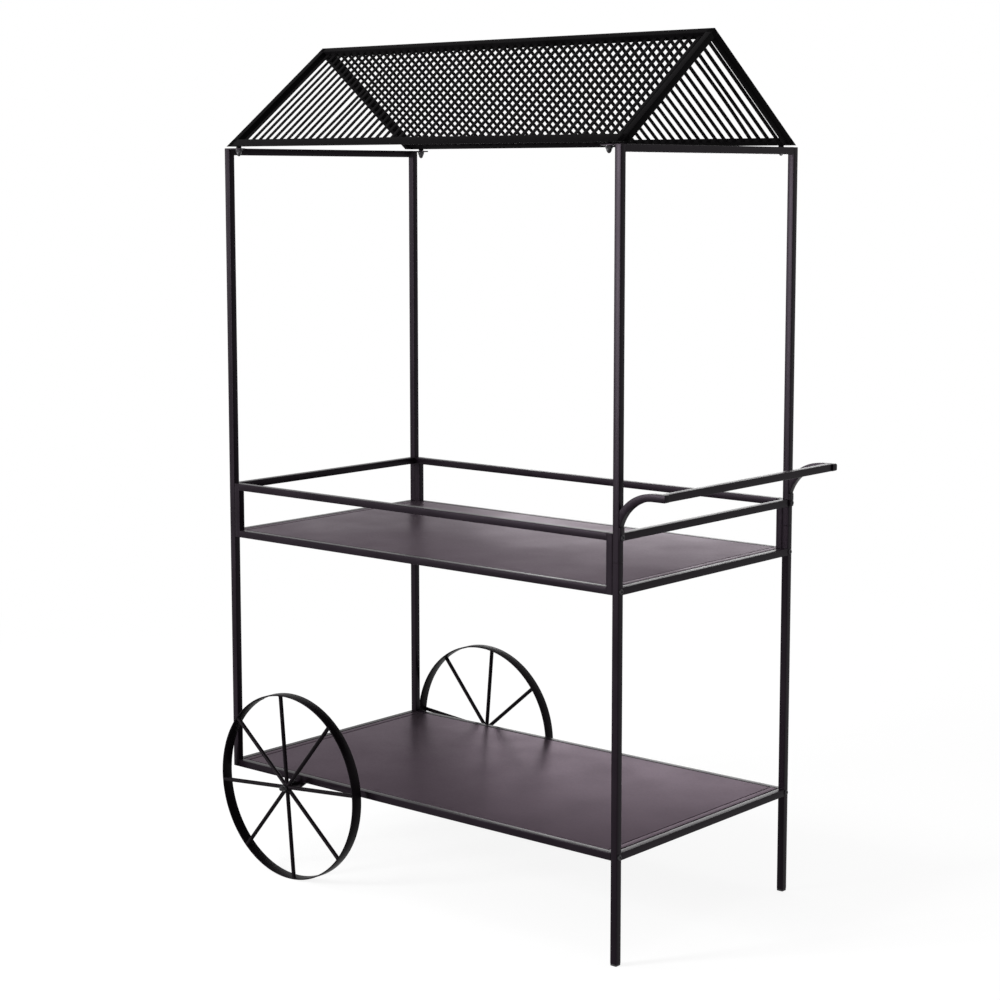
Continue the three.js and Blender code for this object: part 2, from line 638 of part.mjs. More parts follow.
/** Three bolts through each post; the upper rear ones also hold the handle's plates. */
function addFrameBolts() {
  const levels = { lower: SHELF_LEVEL, middle: TRAY_LEVEL, upper: RIM_LEVEL };
  const bolt = frameBolt(BOLT.length);
  const longBolt = frameBolt(BOLT.length + HANDLE_PLATE.thickness);
  for (const { end, alongX, alongY, corner } of CORNERS) {
    for (const [name, level] of Object.entries(levels)) {
      const onPlate = end === 'rear' && name === 'upper';
      const seat = HALF_LENGTH + (onPlate ? HANDLE_PLATE.thickness : 0);
      const place = [alongX * seat, alongY * POST_Y, level];
      const facing = [0, -alongX * QUARTER_TURN, 0];
      const body = onPlate ? longBolt : bolt;
      addPiece(cart, `frame_bolt_${name}_${corner}`, body, FINISHES.fastener, place, facing);
    }
  }
}

/** The push handle: an arm on each rear post and the bar between them. */
function addHandle() {
  const arm = handleArm();
  for (const { side, alongY } of SIDES) {
    addPiece(cart, `handle_arm_${side}`, arm, FINISHES.frameCoat, [0, alongY * POST_Y, 0]);
  }
  const bar = squareTube(2 * INNER_Y);
  const place = [HANDLE.barFace - TUBE / 2, -INNER_Y, HANDLE.top - TUBE / 2];
  addPiece(cart, 'handle_bar', bar, FINISHES.frameCoat, place, ALONG_Y);
}

/** The axle under the shelf with its brackets and nuts, and the two wheels that turn on it. */
function addWheels() {
  const running = subGroup(cart, [AXLE_X, 0, WHEEL_RADIUS]);
  const axle = pin(AXLE.radius, -AXLE.halfLength, AXLE.halfLength, AXLE_FACETS);
  addPiece(running, 'axle', axle, FINISHES.fastener, [0, 0, 0], ALONG_Y);
  const bracket = axleBracket();
  const nut = axleNut();
  const rim = wheelRim();
  const spokes = wheelSpokes();
  for (const { side, alongY } of SIDES) {
    const outward = [-alongY * QUARTER_TURN, 0, 0];
    const turn = THREE.MathUtils.degToRad(side === 'left' ? LEFT_TURN : RIGHT_TURN);
    const half = subGroup(running, [0, 0, 0], [0, 0, alongY > 0 ? 0 : HALF_TURN]);
    addPiece(half, `axle_bracket_${side}`, bracket, FINISHES.frameCoat);
    addPiece(running, `axle_nut_${side}`, nut, FINISHES.fastener, [0, alongY * AXLE_NUT.face, 0], outward);
    const wheel = subGroup(running, [0, alongY * RIM.centreY, 0], [0, -turn, 0]);
    addPiece(wheel, `wheel_rim_${side}`, rim, FINISHES.frameCoat, [0, 0, 0], outward);
    addPiece(wheel, `wheel_spokes_${side}`, spokes, FINISHES.frameCoat, [0, 0, 0], outward);
  }
}

/** Both roof slopes and the cap bolts that hold them to the posts' tabs. */
function addRoof() {
  const slope = roofSlope();
  const shank = TAB.thickness + (EAVE_HEIGHT - POST_TOP) + EAVE_BOSS.sink - PLAY;
  const bolt = capBolt(shank);
  for (const { side, alongY } of SIDES) {
    const facing = [0, 0, alongY > 0 ? 0 : HALF_TURN];
    addPiece(cart, `roof_slope_${side}`, slope, FINISHES.roofCoat, [0, 0, 0], facing);
  }
  for (const { alongX, alongY, corner } of CORNERS) {
    const place = [alongX * TAB.boltX, alongY * TAB.boltY, POST_TOP - TAB.thickness];
    addPiece(cart, `roof_bolt_${corner}`, bolt, FINISHES.fastener, place);
  }
}

addPosts();
addEndRungs();
addTray();
addShelf();
addFrameBolts();
addHandle();
addWheels();
addRoof();

export default cart;
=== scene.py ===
import json
import logging
import math
import random
from dataclasses import dataclass, field
from enum import Enum
from typing import Any, Iterable, Sequence

import bmesh
import bpy
from mathutils import Matrix, Vector


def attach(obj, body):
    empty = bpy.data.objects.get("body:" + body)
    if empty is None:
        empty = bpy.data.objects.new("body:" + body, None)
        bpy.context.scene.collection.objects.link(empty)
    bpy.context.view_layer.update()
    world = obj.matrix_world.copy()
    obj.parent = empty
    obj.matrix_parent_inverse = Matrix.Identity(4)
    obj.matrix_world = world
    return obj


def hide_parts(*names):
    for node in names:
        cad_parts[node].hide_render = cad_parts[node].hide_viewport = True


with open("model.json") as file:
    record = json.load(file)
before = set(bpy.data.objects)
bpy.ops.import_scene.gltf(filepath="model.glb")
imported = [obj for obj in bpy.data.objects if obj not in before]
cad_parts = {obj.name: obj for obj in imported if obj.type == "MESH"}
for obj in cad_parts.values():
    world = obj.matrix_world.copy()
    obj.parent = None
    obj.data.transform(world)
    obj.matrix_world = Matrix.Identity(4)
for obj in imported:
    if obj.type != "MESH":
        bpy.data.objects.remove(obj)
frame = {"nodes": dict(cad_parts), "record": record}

log = logging.getLogger("flower_cart_stand")

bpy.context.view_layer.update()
FULL_TURN = 2 * math.pi
QUARTER_TURN = math.pi / 2

Colour = tuple[float, float, float]
Section = list[tuple[float, float]]


class End(Enum):
    """An end of the cart; the value is its sign along X."""

    FRONT = -1
    REAR = 1

    @property
    def label(self) -> str:
        """The end's name as the nodes have it."""
        return self.name.lower()


class Side(Enum):
    """A long side of the cart; the value is its sign along Y."""

    LEFT = -1
    RIGHT = 1

    @property
    def label(self) -> str:
        """The side's name as the nodes have it."""
        return self.name.lower()


class Along(Enum):
    """The direction that a straight bar runs in; the value is the axis number."""

    X = 0
    Y = 1
    Z = 2

    def place(self, u: float, v: float, reach: float) -> Vector:
        """A section point turned so that the section faces along this axis.

        Args:
            u: First section coordinate.
            v: Second section coordinate.
            reach: Distance along the axis.

        Returns:
            The point in the cart's axes.
        """
        turned = {Along.X: (reach, u, v), Along.Y: (v, reach, u), Along.Z: (u, v, reach)}
        return Vector(turned[self])


@dataclass(frozen=True)
class CartSizes:
    """Sizes that several sub-assemblies share, in metres."""

    middle_x: float = -0.056
    tube: float = 0.016
    corner: float = 0.001
    half_length: float = 0.5805
    half_width: float = 0.322
    shelf_top: float = 0.241
    tray_top: float = 0.8
    rim_top: float = 0.912
    post_top: float = 1.698

    @property
    def half_tube(self) -> float:
        """Half the tube's side."""
        return self.tube / 2

    @property
    def post_x(self) -> float:
        """Middle of the cart to the middle of a post, along X."""
        return self.half_length - self.half_tube

    @property
    def post_y(self) -> float:
        """Middle of the cart to the middle of a post, along Y."""
        return self.half_width - self.half_tube

    @property
    def inner_x(self) -> float:
        """Middle of the cart to the inner face of a post, along X."""
        return self.half_length - self.tube

    @property
    def inner_y(self) -> float:
        """Middle of the cart to the inner face of a post, along Y."""
        return self.half_width - self.tube

    def at(self, x: float, y: float, z: float) -> Vector:
        """A point given from the middle of the posts, in the frame's axes."""
        return Vector((x + self.middle_x, y, z))


SIZES = CartSizes()


# ------------------------------------------------------------------- mesh code


def rounded_rectangle(width: float, height: float, corner: float, steps: int = 4) -> Section:
    """A rectangle with round corners, centred on the origin.

    Args:
        width: Size along the first coordinate.
        height: Size along the second coordinate.
        corner: Corner radius.
        steps: Facets of each corner.

    Returns:
        The outline's points in order.
    """
    points: Section = []
    for quarter, (sx, sy) in enumerate(((1, 1), (-1, 1), (-1, -1), (1, -1))):
        for step in range(steps + 1):
            angle = QUARTER_TURN * (quarter + step / steps)
            u = sx * (width / 2 - corner) + corner * math.cos(angle)
            v = sy * (height / 2 - corner) + corner * math.sin(angle)
            points.append((u, v))
    return points


def circle(radius: float, steps: int) -> Section:
    """A circle's points about the origin."""
    return [
        (radius * math.cos(FULL_TURN * i / steps), radius * math.sin(FULL_TURN * i / steps))
        for i in range(steps)
    ]


def polygon(across_flats: float, sides: int, steps: int) -> Section:
    """A regular polygon sampled at the same angles as a circle of that many steps.

    Args:
        across_flats: Distance between opposite flats.
        sides: Number of flats.
        steps: Number of points round the outline.

    Returns:
        The outline's points in order.
    """
    points: Section = []
    for i in range(steps):
        angle = FULL_TURN * i / steps
        nearest = round(angle * sides / FULL_TURN) * FULL_TURN / sides
        radius = across_flats / 2 / math.cos(angle - nearest)
        points.append((radius * math.cos(angle), radius * math.sin(angle)))
    return points


class MeshDraft:
    """The points and faces of a piece while it is drawn."""

    def __init__(self) -> None:
        """Starts with nothing drawn."""
        self.points: list[Vector] = []
        self.faces: list[tuple[int, ...]] = []

    def loft(self, rings: Sequence[Sequence[Vector]], capped: bool = True, looped: bool = False) -> None:
        """Skins a row of rings that all have the same number of points.

        Args:
            rings: The rings, in order.
            capped: Whether the first and last rings are filled.
            looped: Whether the last ring joins the first one.
        """
        base, count = len(self.points), len(rings[0])
        for ring in rings:
            self.points.extend(ring)
        spans = len(rings) if looped else len(rings) - 1
        for span in range(spans):
            here = base + span * count
            there = base + ((span + 1) % len(rings)) * count
            for i in range(count):
                j = (i + 1) % count
                self.faces.append((here + i, here + j, there + j, there + i))
        if capped and not looped:
            last = base + (len(rings) - 1) * count
            self.faces.append(tuple(range(base + count - 1, base - 1, -1)))
            self.faces.append(tuple(range(last, last + count)))

    def bar(self, along: Along, start: Vector, length: float, side: float, corner: float,
            softening: float = 0.0004) -> None:
        """A straight square bar whose long corners are round and whose ends are eased.

        Args:
            along: The axis that the bar runs along.
            start: The middle of its first end.
            length: Its length.
            side: The side of its section.
            corner: The radius of its long corners.
            softening: How far the end edges are eased.
        """
        stations = ((0.0, softening), (softening, 0.0), (length - softening, 0.0), (length, softening))
        rings = []
        for reach, inset in stations:
            section = rounded_rectangle(side - 2 * inset, side - 2 * inset, corner - inset)
            rings.append([start + along.place(u, v, reach) for u, v in section])
        self.loft(rings)

    def turned(self, profile: Sequence[tuple[float, float]], centre: Vector, facing: Vector,
               steps: int = 32, looped: bool = False) -> None:
        """A body turned from a profile about an axis.

        Args:
            profile: Pairs of radius and height along the axis.
            centre: The point of the axis at height 0.
            facing: The axis, pointing to growing heights.
            steps: Facets round the axis.
            looped: Whether the profile closes on itself.
        """
        turn = facing.to_track_quat("Z", "Y").to_matrix()
        tiny = 1e-6
        rings = [
            [centre + turn @ Vector((u, v, height)) for u, v in circle(max(radius, tiny), steps)]
            for radius, height in profile
        ]
        self.loft(rings, looped=looped)

    def stacked(self, sections: Sequence[tuple[Section, float]], centre: Vector, facing: Vector) -> None:
        """A body skinned over sections of equal counts, stacked along an axis.

        Args:
            sections: Pairs of a section and its height.
            centre: The point of the axis at height 0.
            facing: The axis, pointing to growing heights.
        """
        turn = facing.to_track_quat("Z", "Y").to_matrix()
        self.loft([[centre + turn @ Vector((u, v, height)) for u, v in section] for section, height in sections])

    def rod(self, path: Sequence[Vector], radii: Sequence[float], steps: int = 12) -> None:
        """A round rod along a path, with a radius at each of its points.

        Args:
            path: The centre line's points.
            radii: The radius at each point.
            steps: Facets round the rod.
        """
        turn = (path[-1] - path[0]).to_track_quat("Z", "Y").to_matrix()
        rings = []
        for centre, radius in zip(path, radii):
            rings.append([centre + turn @ Vector((u, v, 0)) for u, v in circle(radius, steps)])
        self.loft(rings)

    def bead(self, along: Along, centre: Vector, side: float, radius: float) -> None:
        """A weld bead, with its ripples, round a square bar where the bar meets a face.

        Args:
            along: The axis of the bar.
            centre: The middle of the joint.
            side: The side of the bar.
            radius: The bead's radius.
        """
        steps_round, ripple, arc = 12, 0.18, 6
        outline = rounded_rectangle(side, side, SIZES.corner, steps_round // 2)
        dense: Section = []
        for (u0, v0), (u1, v1) in zip(outline, outline[1:] + outline[:1]):
            pieces = max(1, round(math.hypot(u1 - u0, v1 - v0) / (1.1 * radius)))
            dense += [(u0 + (u1 - u0) * k / pieces, v0 + (v1 - v0) * k / pieces) for k in range(pieces)]
        rings = []
        for i, (u, v) in enumerate(dense):
            away = Vector((u, v)).normalized()
            size = radius * (1 - ripple * (i % 2))
            ring = []
            for k in range(arc):
                angle = FULL_TURN * k / arc
                out = size * math.cos(angle)
                ring.append(centre + along.place(u + away.x * out, v + away.y * out, size * math.sin(angle)))
            rings.append(ring)
        self.loft(rings, looped=True)

    def take(self, source: bmesh.types.BMesh) -> None:
        """Adds all faces of a finished bmesh, and frees it."""
        base = len(self.points)
        source.verts.index_update()
        self.points.extend(vert.co.copy() for vert in source.verts)
        self.faces.extend(tuple(base + vert.index for vert in face.verts) for face in source.faces)
        source.free()

    def prism(self, outline: Sequence[Vector], push: Vector, softening: float, segments: int = 2) -> None:
        """A plate or bar of any outline, with all of its edges eased.

        Args:
            outline: The flat outline's points in order.
            push: How far and where the outline is pushed.
            softening: The radius of the eased edges.
            segments: Facets of each eased edge.
        """
        solid = bmesh.new()
        lower = [solid.verts.new(point) for point in outline]
        upper = [solid.verts.new(point + push) for point in outline]
        solid.faces.new(list(reversed(lower)))
        solid.faces.new(upper)
        for i, start in enumerate(lower):
            j = (i + 1) % len(lower)
            solid.faces.new((start, lower[j], upper[j], upper[i]))
        bmesh.ops.recalc_face_normals(solid, faces=solid.faces[:])
        bmesh.ops.bevel(
            solid, geom=solid.edges[:], offset=softening, segments=segments, profile=0.5,
            affect="EDGES", clamp_overlap=True,
        )
        self.take(solid)

    def to_mesh(self, name: str, sharp_degrees: float) -> bpy.types.Mesh:
        """The finished mesh, smooth except over its sharp edges.

        Args:
            name: The mesh's name.
            sharp_degrees: Edges that bend more than this stay sharp.

        Returns:
            A mesh whose faces all point outwards.
        """
        mesh = bpy.data.meshes.new(name)
        mesh.from_pydata([tuple(point) for point in self.points], [], self.faces)
        solid = bmesh.new()
        solid.from_mesh(mesh)
        bmesh.ops.remove_doubles(solid, verts=solid.verts[:], dist=2e-6)
        bmesh.ops.recalc_face_normals(solid, faces=solid.faces[:])
        solid.to_mesh(mesh)
        solid.free()
        mesh.polygons.foreach_set("use_smooth", [True] * len(mesh.polygons))
        mesh.set_sharp_from_angle(angle=math.radians(sharp_degrees))
        mesh.update()
        return mesh


# -------------------------------------------------------------------- finishes


class NodeSheet:
    """A material's node tree, with short calls to add and join nodes."""

    def __init__(self, name: str) -> None:
        """Makes an empty material with a surface shader and its output."""
        self.material = bpy.data.materials.new(name)
        self.material.use_nodes = True
        self.tree = self.material.node_tree
        self.tree.nodes.clear()
        self.output = self.add("ShaderNodeOutputMaterial")

    def add(self, kind: str, inputs: dict[str | int, Any] | None = None, **settings: Any) -> bpy.types.Node:
        """A new node.

        Args:
            kind: The node's type.
            inputs: Socket values, or sockets to join, by socket name or number.
            settings: Properties of the node itself.

        Returns:
            The node.
        """
        node = self.tree.nodes.new(kind)
        for name, value in settings.items():
            setattr(node, name, value)
        for name, value in (inputs or {}).items():
            if isinstance(value, bpy.types.NodeSocket):
                self.tree.links.new(value, node.inputs[name])
            else:
                node.inputs[name].default_value = value
        return node

    def math(self, operation: str, first: Any, second: Any = 0.0, clamped: bool = False) -> bpy.types.NodeSocket:
        """The result of one sum of two numbers or sockets.

        Args:
            operation: The name of the sum.
            first: First number or socket.
            second: Second number or socket.
            clamped: Whether the result stays within 0 and 1.

        Returns:
            The socket with the result.
        """
        node = self.tree.nodes.new("ShaderNodeMath")
        node.operation = operation
        node.use_clamp = clamped
        for socket, value in zip(node.inputs, (first, second)):
            if isinstance(value, bpy.types.NodeSocket):
                self.tree.links.new(value, socket)
            else:
                socket.default_value = value
        return node.outputs[0]

    def noise(self, where: bpy.types.NodeSocket, scale: float, detail: float = 2.0) -> bpy.types.NodeSocket:
        """A soft noise of a given number of cells to the metre."""
        node = self.add("ShaderNodeTexNoise", {"Vector": where, "Scale": scale, "Detail": detail})
        return node.outputs["Fac"]

    def spread(self, value: bpy.types.NodeSocket, low: float, high: float, start: float = 0.3,
               stop: float = 0.7) -> bpy.types.NodeSocket:
        """A value's middle span stretched to a new range.

        Args:
            value: The socket to stretch.
            low: Result at the start of the span.
            high: Result at its end.
            start: Where the span starts.
            stop: Where it ends.

        Returns:
            The socket with the result.
        """
        node = self.add("ShaderNodeMapRange", {
            "Value": value, "From Min": start, "From Max": stop, "To Min": low, "To Max": high,
        })
        return node.outputs["Result"]

    def mixed(self, factor: bpy.types.NodeSocket, first: Colour | bpy.types.NodeSocket,
              second: Colour) -> bpy.types.NodeSocket:
        """Two colours mixed by a factor.

        Args:
            factor: The share of the second colour.
            first: The first colour or a socket with it.
            second: The second colour.

        Returns:
            The socket with the mixed colour.
        """
        node = self.tree.nodes.new("ShaderNodeMix")
        node.data_type = "RGBA"
        colours = [socket for socket in node.inputs if socket.type == "RGBA"]
        for socket, value in zip(colours, (first, second)):
            if isinstance(value, bpy.types.NodeSocket):
                self.tree.links.new(value, socket)
            else:
                socket.default_value = (*value, 1.0)
        self.tree.links.new(factor, node.inputs["Factor"])
        return next(socket for socket in node.outputs if socket.type == "RGBA")

    def bump(self, height: bpy.types.NodeSocket, distance: float, strength: float,
             before: bpy.types.NodeSocket | None = None) -> bpy.types.NodeSocket:
        """Relief from a height.

        Args:
            height: The height, from 0 to 1.
            distance: The relief's full depth in metres.
            strength: The share of it that is used.
            before: The normal of the relief that this one lies on.

        Returns:
            The socket with the new normal.
        """
        inputs: dict[str, Any] = {"Height": height, "Distance": distance, "Strength": strength}
        if before is not None:
            inputs["Normal"] = before
        return self.add("ShaderNodeBump", inputs).outputs["Normal"]

    def edges(self, radius: float) -> bpy.types.NodeSocket:
        """Nearly 0 on flat faces, and growing over edges within a radius."""
        rounded = self.add("ShaderNodeBevel", {"Radius": radius}, samples=4)
        true = self.add("ShaderNodeNewGeometry")
        dot = self.add("ShaderNodeVectorMath", operation="DOT_PRODUCT")
        self.tree.links.new(rounded.outputs["Normal"], dot.inputs[0])
        self.tree.links.new(true.outputs["Normal"], dot.inputs[1])
        return self.math("SUBTRACT", 1.0, dot.outputs["Value"], clamped=True)

    def surface(self, inputs: dict[str, Any]) -> bpy.types.Material:
        """Joins a surface shader with these inputs to the output, and returns the material."""
        shader = self.add("ShaderNodeBsdfPrincipled", inputs)
        self.tree.links.new(shader.outputs["BSDF"], self.output.inputs["Surface"])
        return self.material


@dataclass(frozen=True)
class PowderCoat:
    """Baked powder paint on steel: fine orange-peel relief, soft clouds, pale edges, and up-facing faces
    lightened partly as settled dusting and partly as a painted highlight.
    """

    name: str
    slot: str
    colour: Colour
    pale: Colour
    roughness: float
    roughness_spread: float
    ior: float
    tint: Colour = (1.0, 1.0, 1.0)
    metallic: float = 0.0
    peel: float = 620.0
    peel_depth: float = 0.00006
    grain: float = 2600.0
    grain_depth: float = 0.000012
    cloud: float = 0.25
    edge_wear: float = 1.2
    # Share of the pale colour on up-facing faces: partly settled dusting, partly a painted highlight on the
    # tops.
    dust: float = 0.12
    sag: float = 0.0

    def material(self) -> bpy.types.Material:
        """Builds the paint's nodes.

        Returns:
            The material.
        """
        sheet = NodeSheet(self.name)
        spot = sheet.add("ShaderNodeTexCoord")
        where, facing = spot.outputs["Object"], spot.outputs["Normal"]
        clouds = sheet.noise(where, 7.0, 4.0)
        specks = sheet.noise(where, 160.0, 5.0)
        peel = sheet.noise(where, self.peel, 1.0)
        grain = sheet.noise(where, self.grain, 1.0)

        # Painted highlight mixed with dusting: faces that look up go towards the pale colour in speckled
        # patches, and get rougher.
        up = sheet.add("ShaderNodeSeparateXYZ", {"Vector": facing}).outputs["Z"]
        level = sheet.spread(up, 0.0, 1.0, 0.8, 1.0)
        patchy = sheet.spread(specks, 0.35, 1.0, 0.35, 0.7)
        dust = sheet.math("MULTIPLY", sheet.math("MULTIPLY", level, patchy), self.dust)
        worn = sheet.math("MULTIPLY", sheet.edges(0.0009), sheet.spread(specks, 0.15, 1.0))
        wear = sheet.math("MULTIPLY", worn, self.edge_wear, clamped=True)
        drift = sheet.spread(clouds, 0.0, self.cloud)
        share = sheet.math("ADD", sheet.math("ADD", drift, dust), wear, clamped=True)

        roughness = sheet.spread(
            clouds, self.roughness - self.roughness_spread, self.roughness + self.roughness_spread,
        )
        relief = None
        if self.sag:
            relief = sheet.bump(sheet.noise(where, 2.4, 1.0), self.sag, 1.0)
        relief = sheet.bump(peel, self.peel_depth, 0.6, relief)
        relief = sheet.bump(grain, self.grain_depth, 0.5, relief)
        return sheet.surface({
            "Base Color": sheet.mixed(share, self.colour, self.pale),
            "Roughness": sheet.math("ADD", roughness, sheet.math("MULTIPLY", dust, 0.6), clamped=True),
            "IOR": self.ior,
            "Metallic": self.metallic,
            "Specular Tint": (*self.tint, 1.0),
            "Normal": relief,
        })


@dataclass(frozen=True)
class BlackenedSteel:
    """Oiled black steel of bolts, nuts and the axle."""

    name: str
    slot: str
    colour: Colour
    bright: Colour
    roughness: float

    def material(self) -> bpy.types.Material:
        """Builds the steel's nodes.

        Returns:
            The material.
        """
        sheet = NodeSheet(self.name)
        where = sheet.add("ShaderNodeTexCoord").outputs["Object"]
        clouds = sheet.noise(where, 90.0, 4.0)
        scratches = sheet.noise(where, 1500.0, 3.0)
        rubbed = sheet.math("MULTIPLY", sheet.edges(0.0006), 2.2, clamped=True)
        share = sheet.math("ADD", rubbed, sheet.spread(clouds, 0.0, 0.2), clamped=True)
        return sheet.surface({
            "Base Color": sheet.mixed(share, self.colour, self.bright),
            "Metallic": 0.7,
            "Roughness": sheet.spread(clouds, self.roughness - 0.06, self.roughness + 0.1),
            "Normal": sheet.bump(scratches, 0.00002, 0.4),
        })


@dataclass(frozen=True)
class MouldedPlastic:
    """Black moulded plastic of the feet."""

    name: str
    slot: str
    colour: Colour
    scuffed: Colour

    def material(self) -> bpy.types.Material:
        """Builds the plastic's nodes.

        Returns:
            The material.
        """
        sheet = NodeSheet(self.name)
        where = sheet.add("ShaderNodeTexCoord").outputs["Object"]
        scuffs = sheet.noise(where, 240.0, 5.0)
        share = sheet.math("MULTIPLY", sheet.spread(scuffs, 0.0, 1.0, 0.45, 0.75), 0.3)
        return sheet.surface({
            "Base Color": sheet.mixed(share, self.colour, self.scuffed),
            "Roughness": sheet.spread(scuffs, 0.5, 0.72),
            "IOR": 1.46,
            "Normal": sheet.bump(sheet.noise(where, 1900.0), 0.00003, 0.5),
        })


@dataclass(frozen=True)
class PaleFloor:
    """A plain pale floor that reads white away from the cart's soft shadow."""

    name: str = "pale_floor"
    colour: Colour = (0.22, 0.22, 0.22)
    lift: float = 0.86
    near: float = 1.3
    far: float = 3.6

    def material(self) -> bpy.types.Material:
        """Builds the floor's nodes.

        Returns:
            The material.
        """
        sheet = NodeSheet(self.name)
        where = sheet.add("ShaderNodeTexCoord").outputs["Object"]
        distance = sheet.add("ShaderNodeVectorMath", {0: where}, operation="LENGTH").outputs["Value"]
        away = sheet.spread(distance, 0.0, 1.0, self.near, self.far)
        matt = sheet.add("ShaderNodeBsdfDiffuse", {"Color": (*self.colour, 1.0)}).outputs[0]
        lift = sheet.add("ShaderNodeEmission", {"Strength": self.lift}).outputs[0]
        white = sheet.add("ShaderNodeEmission", {"Strength": 1.0}).outputs[0]
        close = sheet.add("ShaderNodeAddShader", {0: matt, 1: lift}).outputs[0]
        shown = sheet.add("ShaderNodeMixShader", {0: away, 1: close, 2: white}).outputs[0]
        choice = sheet.add("ShaderNodeMixShader", {0: seen_rays(sheet), 1: matt, 2: shown}).outputs[0]
        sheet.tree.links.new(choice, sheet.output.inputs["Surface"])
        return sheet.material


def seen_rays(sheet: NodeSheet) -> bpy.types.NodeSocket:
    """1 for rays that the camera, a gloss or a glass sends, else 0."""
    rays = sheet.add("ShaderNodeLightPath")
    gloss = sheet.math("MAXIMUM", rays.outputs["Is Glossy Ray"], rays.outputs["Is Transmission Ray"])
    return sheet.math("MAXIMUM", rays.outputs["Is Camera Ray"], gloss)


Finish = PowderCoat | BlackenedSteel | MouldedPlastic

# Each coat's up-facing share lightens its top faces: partly settled dusting, partly a painted highlight.
FRAME_COAT = PowderCoat(
    "satin_black_frame_coat", "frame_coat", colour=(0.0034, 0.0017, 0.0033), pale=(0.03, 0.022, 0.03),
    roughness=0.3, roughness_spread=0.04, ior=1.18, tint=(0.98, 0.8, 1.0), cloud=0.2, dust=0.02,
)
WHEEL_COAT = PowderCoat(
    "satin_black_wheel_coat", "wheel_coat", colour=(0.0026, 0.0017, 0.0025), pale=(0.028, 0.024, 0.028),
    roughness=0.4, roughness_spread=0.05, ior=1.11, tint=(1.0, 0.86, 0.98), cloud=0.2, dust=0.0,
)
DECK_COAT = PowderCoat(
    "aubergine_grey_deck_coat", "deck_coat", colour=(0.034, 0.026, 0.032), pale=(0.07, 0.057, 0.066),
    roughness=0.33, roughness_spread=0.04, ior=1.12, tint=(0.64, 0.55, 0.62), metallic=0.6, peel=520.0,
    peel_depth=0.00004, cloud=0.25, dust=0.08, sag=0.0006,
)
ROOF_COAT = PowderCoat(
    "matt_black_roof_coat", "roof_coat", colour=(0.002, 0.0017, 0.002), pale=(0.025, 0.023, 0.025),
    roughness=0.6, roughness_spread=0.05, ior=1.07, cloud=0.15, dust=0.03,
)
FASTENER_STEEL = BlackenedSteel(
    "blackened_fastener_steel", "fastener", colour=(0.02, 0.019, 0.022), bright=(0.16, 0.155, 0.16),
    roughness=0.36,
)
FOOT_PLASTIC = MouldedPlastic(
    "black_foot_plastic", "foot", colour=(0.012, 0.012, 0.013), scuffed=(0.07, 0.068, 0.066),
)
FINISHES: tuple[Finish, ...] = (FRAME_COAT, WHEEL_COAT, DECK_COAT, ROOF_COAT, FASTENER_STEEL, FOOT_PLASTIC)


class Workshop:
    """Turns drafts into dressed pieces that ride on the frame's bodies."""

    def __init__(self) -> None:
        """Mixes every finish once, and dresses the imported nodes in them."""
        self.materials = {finish.slot: finish.material() for finish in FINISHES}
        self.made = 0
        slots = {part["node"]: part["material_slot"] for part in frame["record"]["subparts"]}
        for name, node in frame["nodes"].items():
            node.data.materials.clear()
            node.data.materials.append(self.materials[slots[name]])

    def piece(self, name: str, draft: MeshDraft, finish: Finish, body: str, nodes: Iterable[str] = (),
              sharp_degrees: float = 38.0) -> bpy.types.Object:
        """Makes a piece of a draft, dresses it and lets it ride.

        Args:
            name: The piece's name.
            draft: Its shape, in the frame's axes.
            finish: Its finish.
            body: The body that it rides on.
            nodes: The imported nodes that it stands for.
            sharp_degrees: Edges that bend more than this stay sharp.

        Returns:
            The new object.
        """
        mesh = draft.to_mesh(name, sharp_degrees)
        mesh.materials.append(self.materials[finish.slot])
        made = bpy.data.objects.new(name, mesh)
        bpy.context.scene.collection.objects.link(made)
        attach(made, body)
        if nodes:
            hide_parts(*nodes)
        self.made += 1
        log.info("piece %s: %d faces, rides on %s", name, len(mesh.polygons), body)
        return made


STAND = "stand"


# ------------------------------------------------------------------ end frames


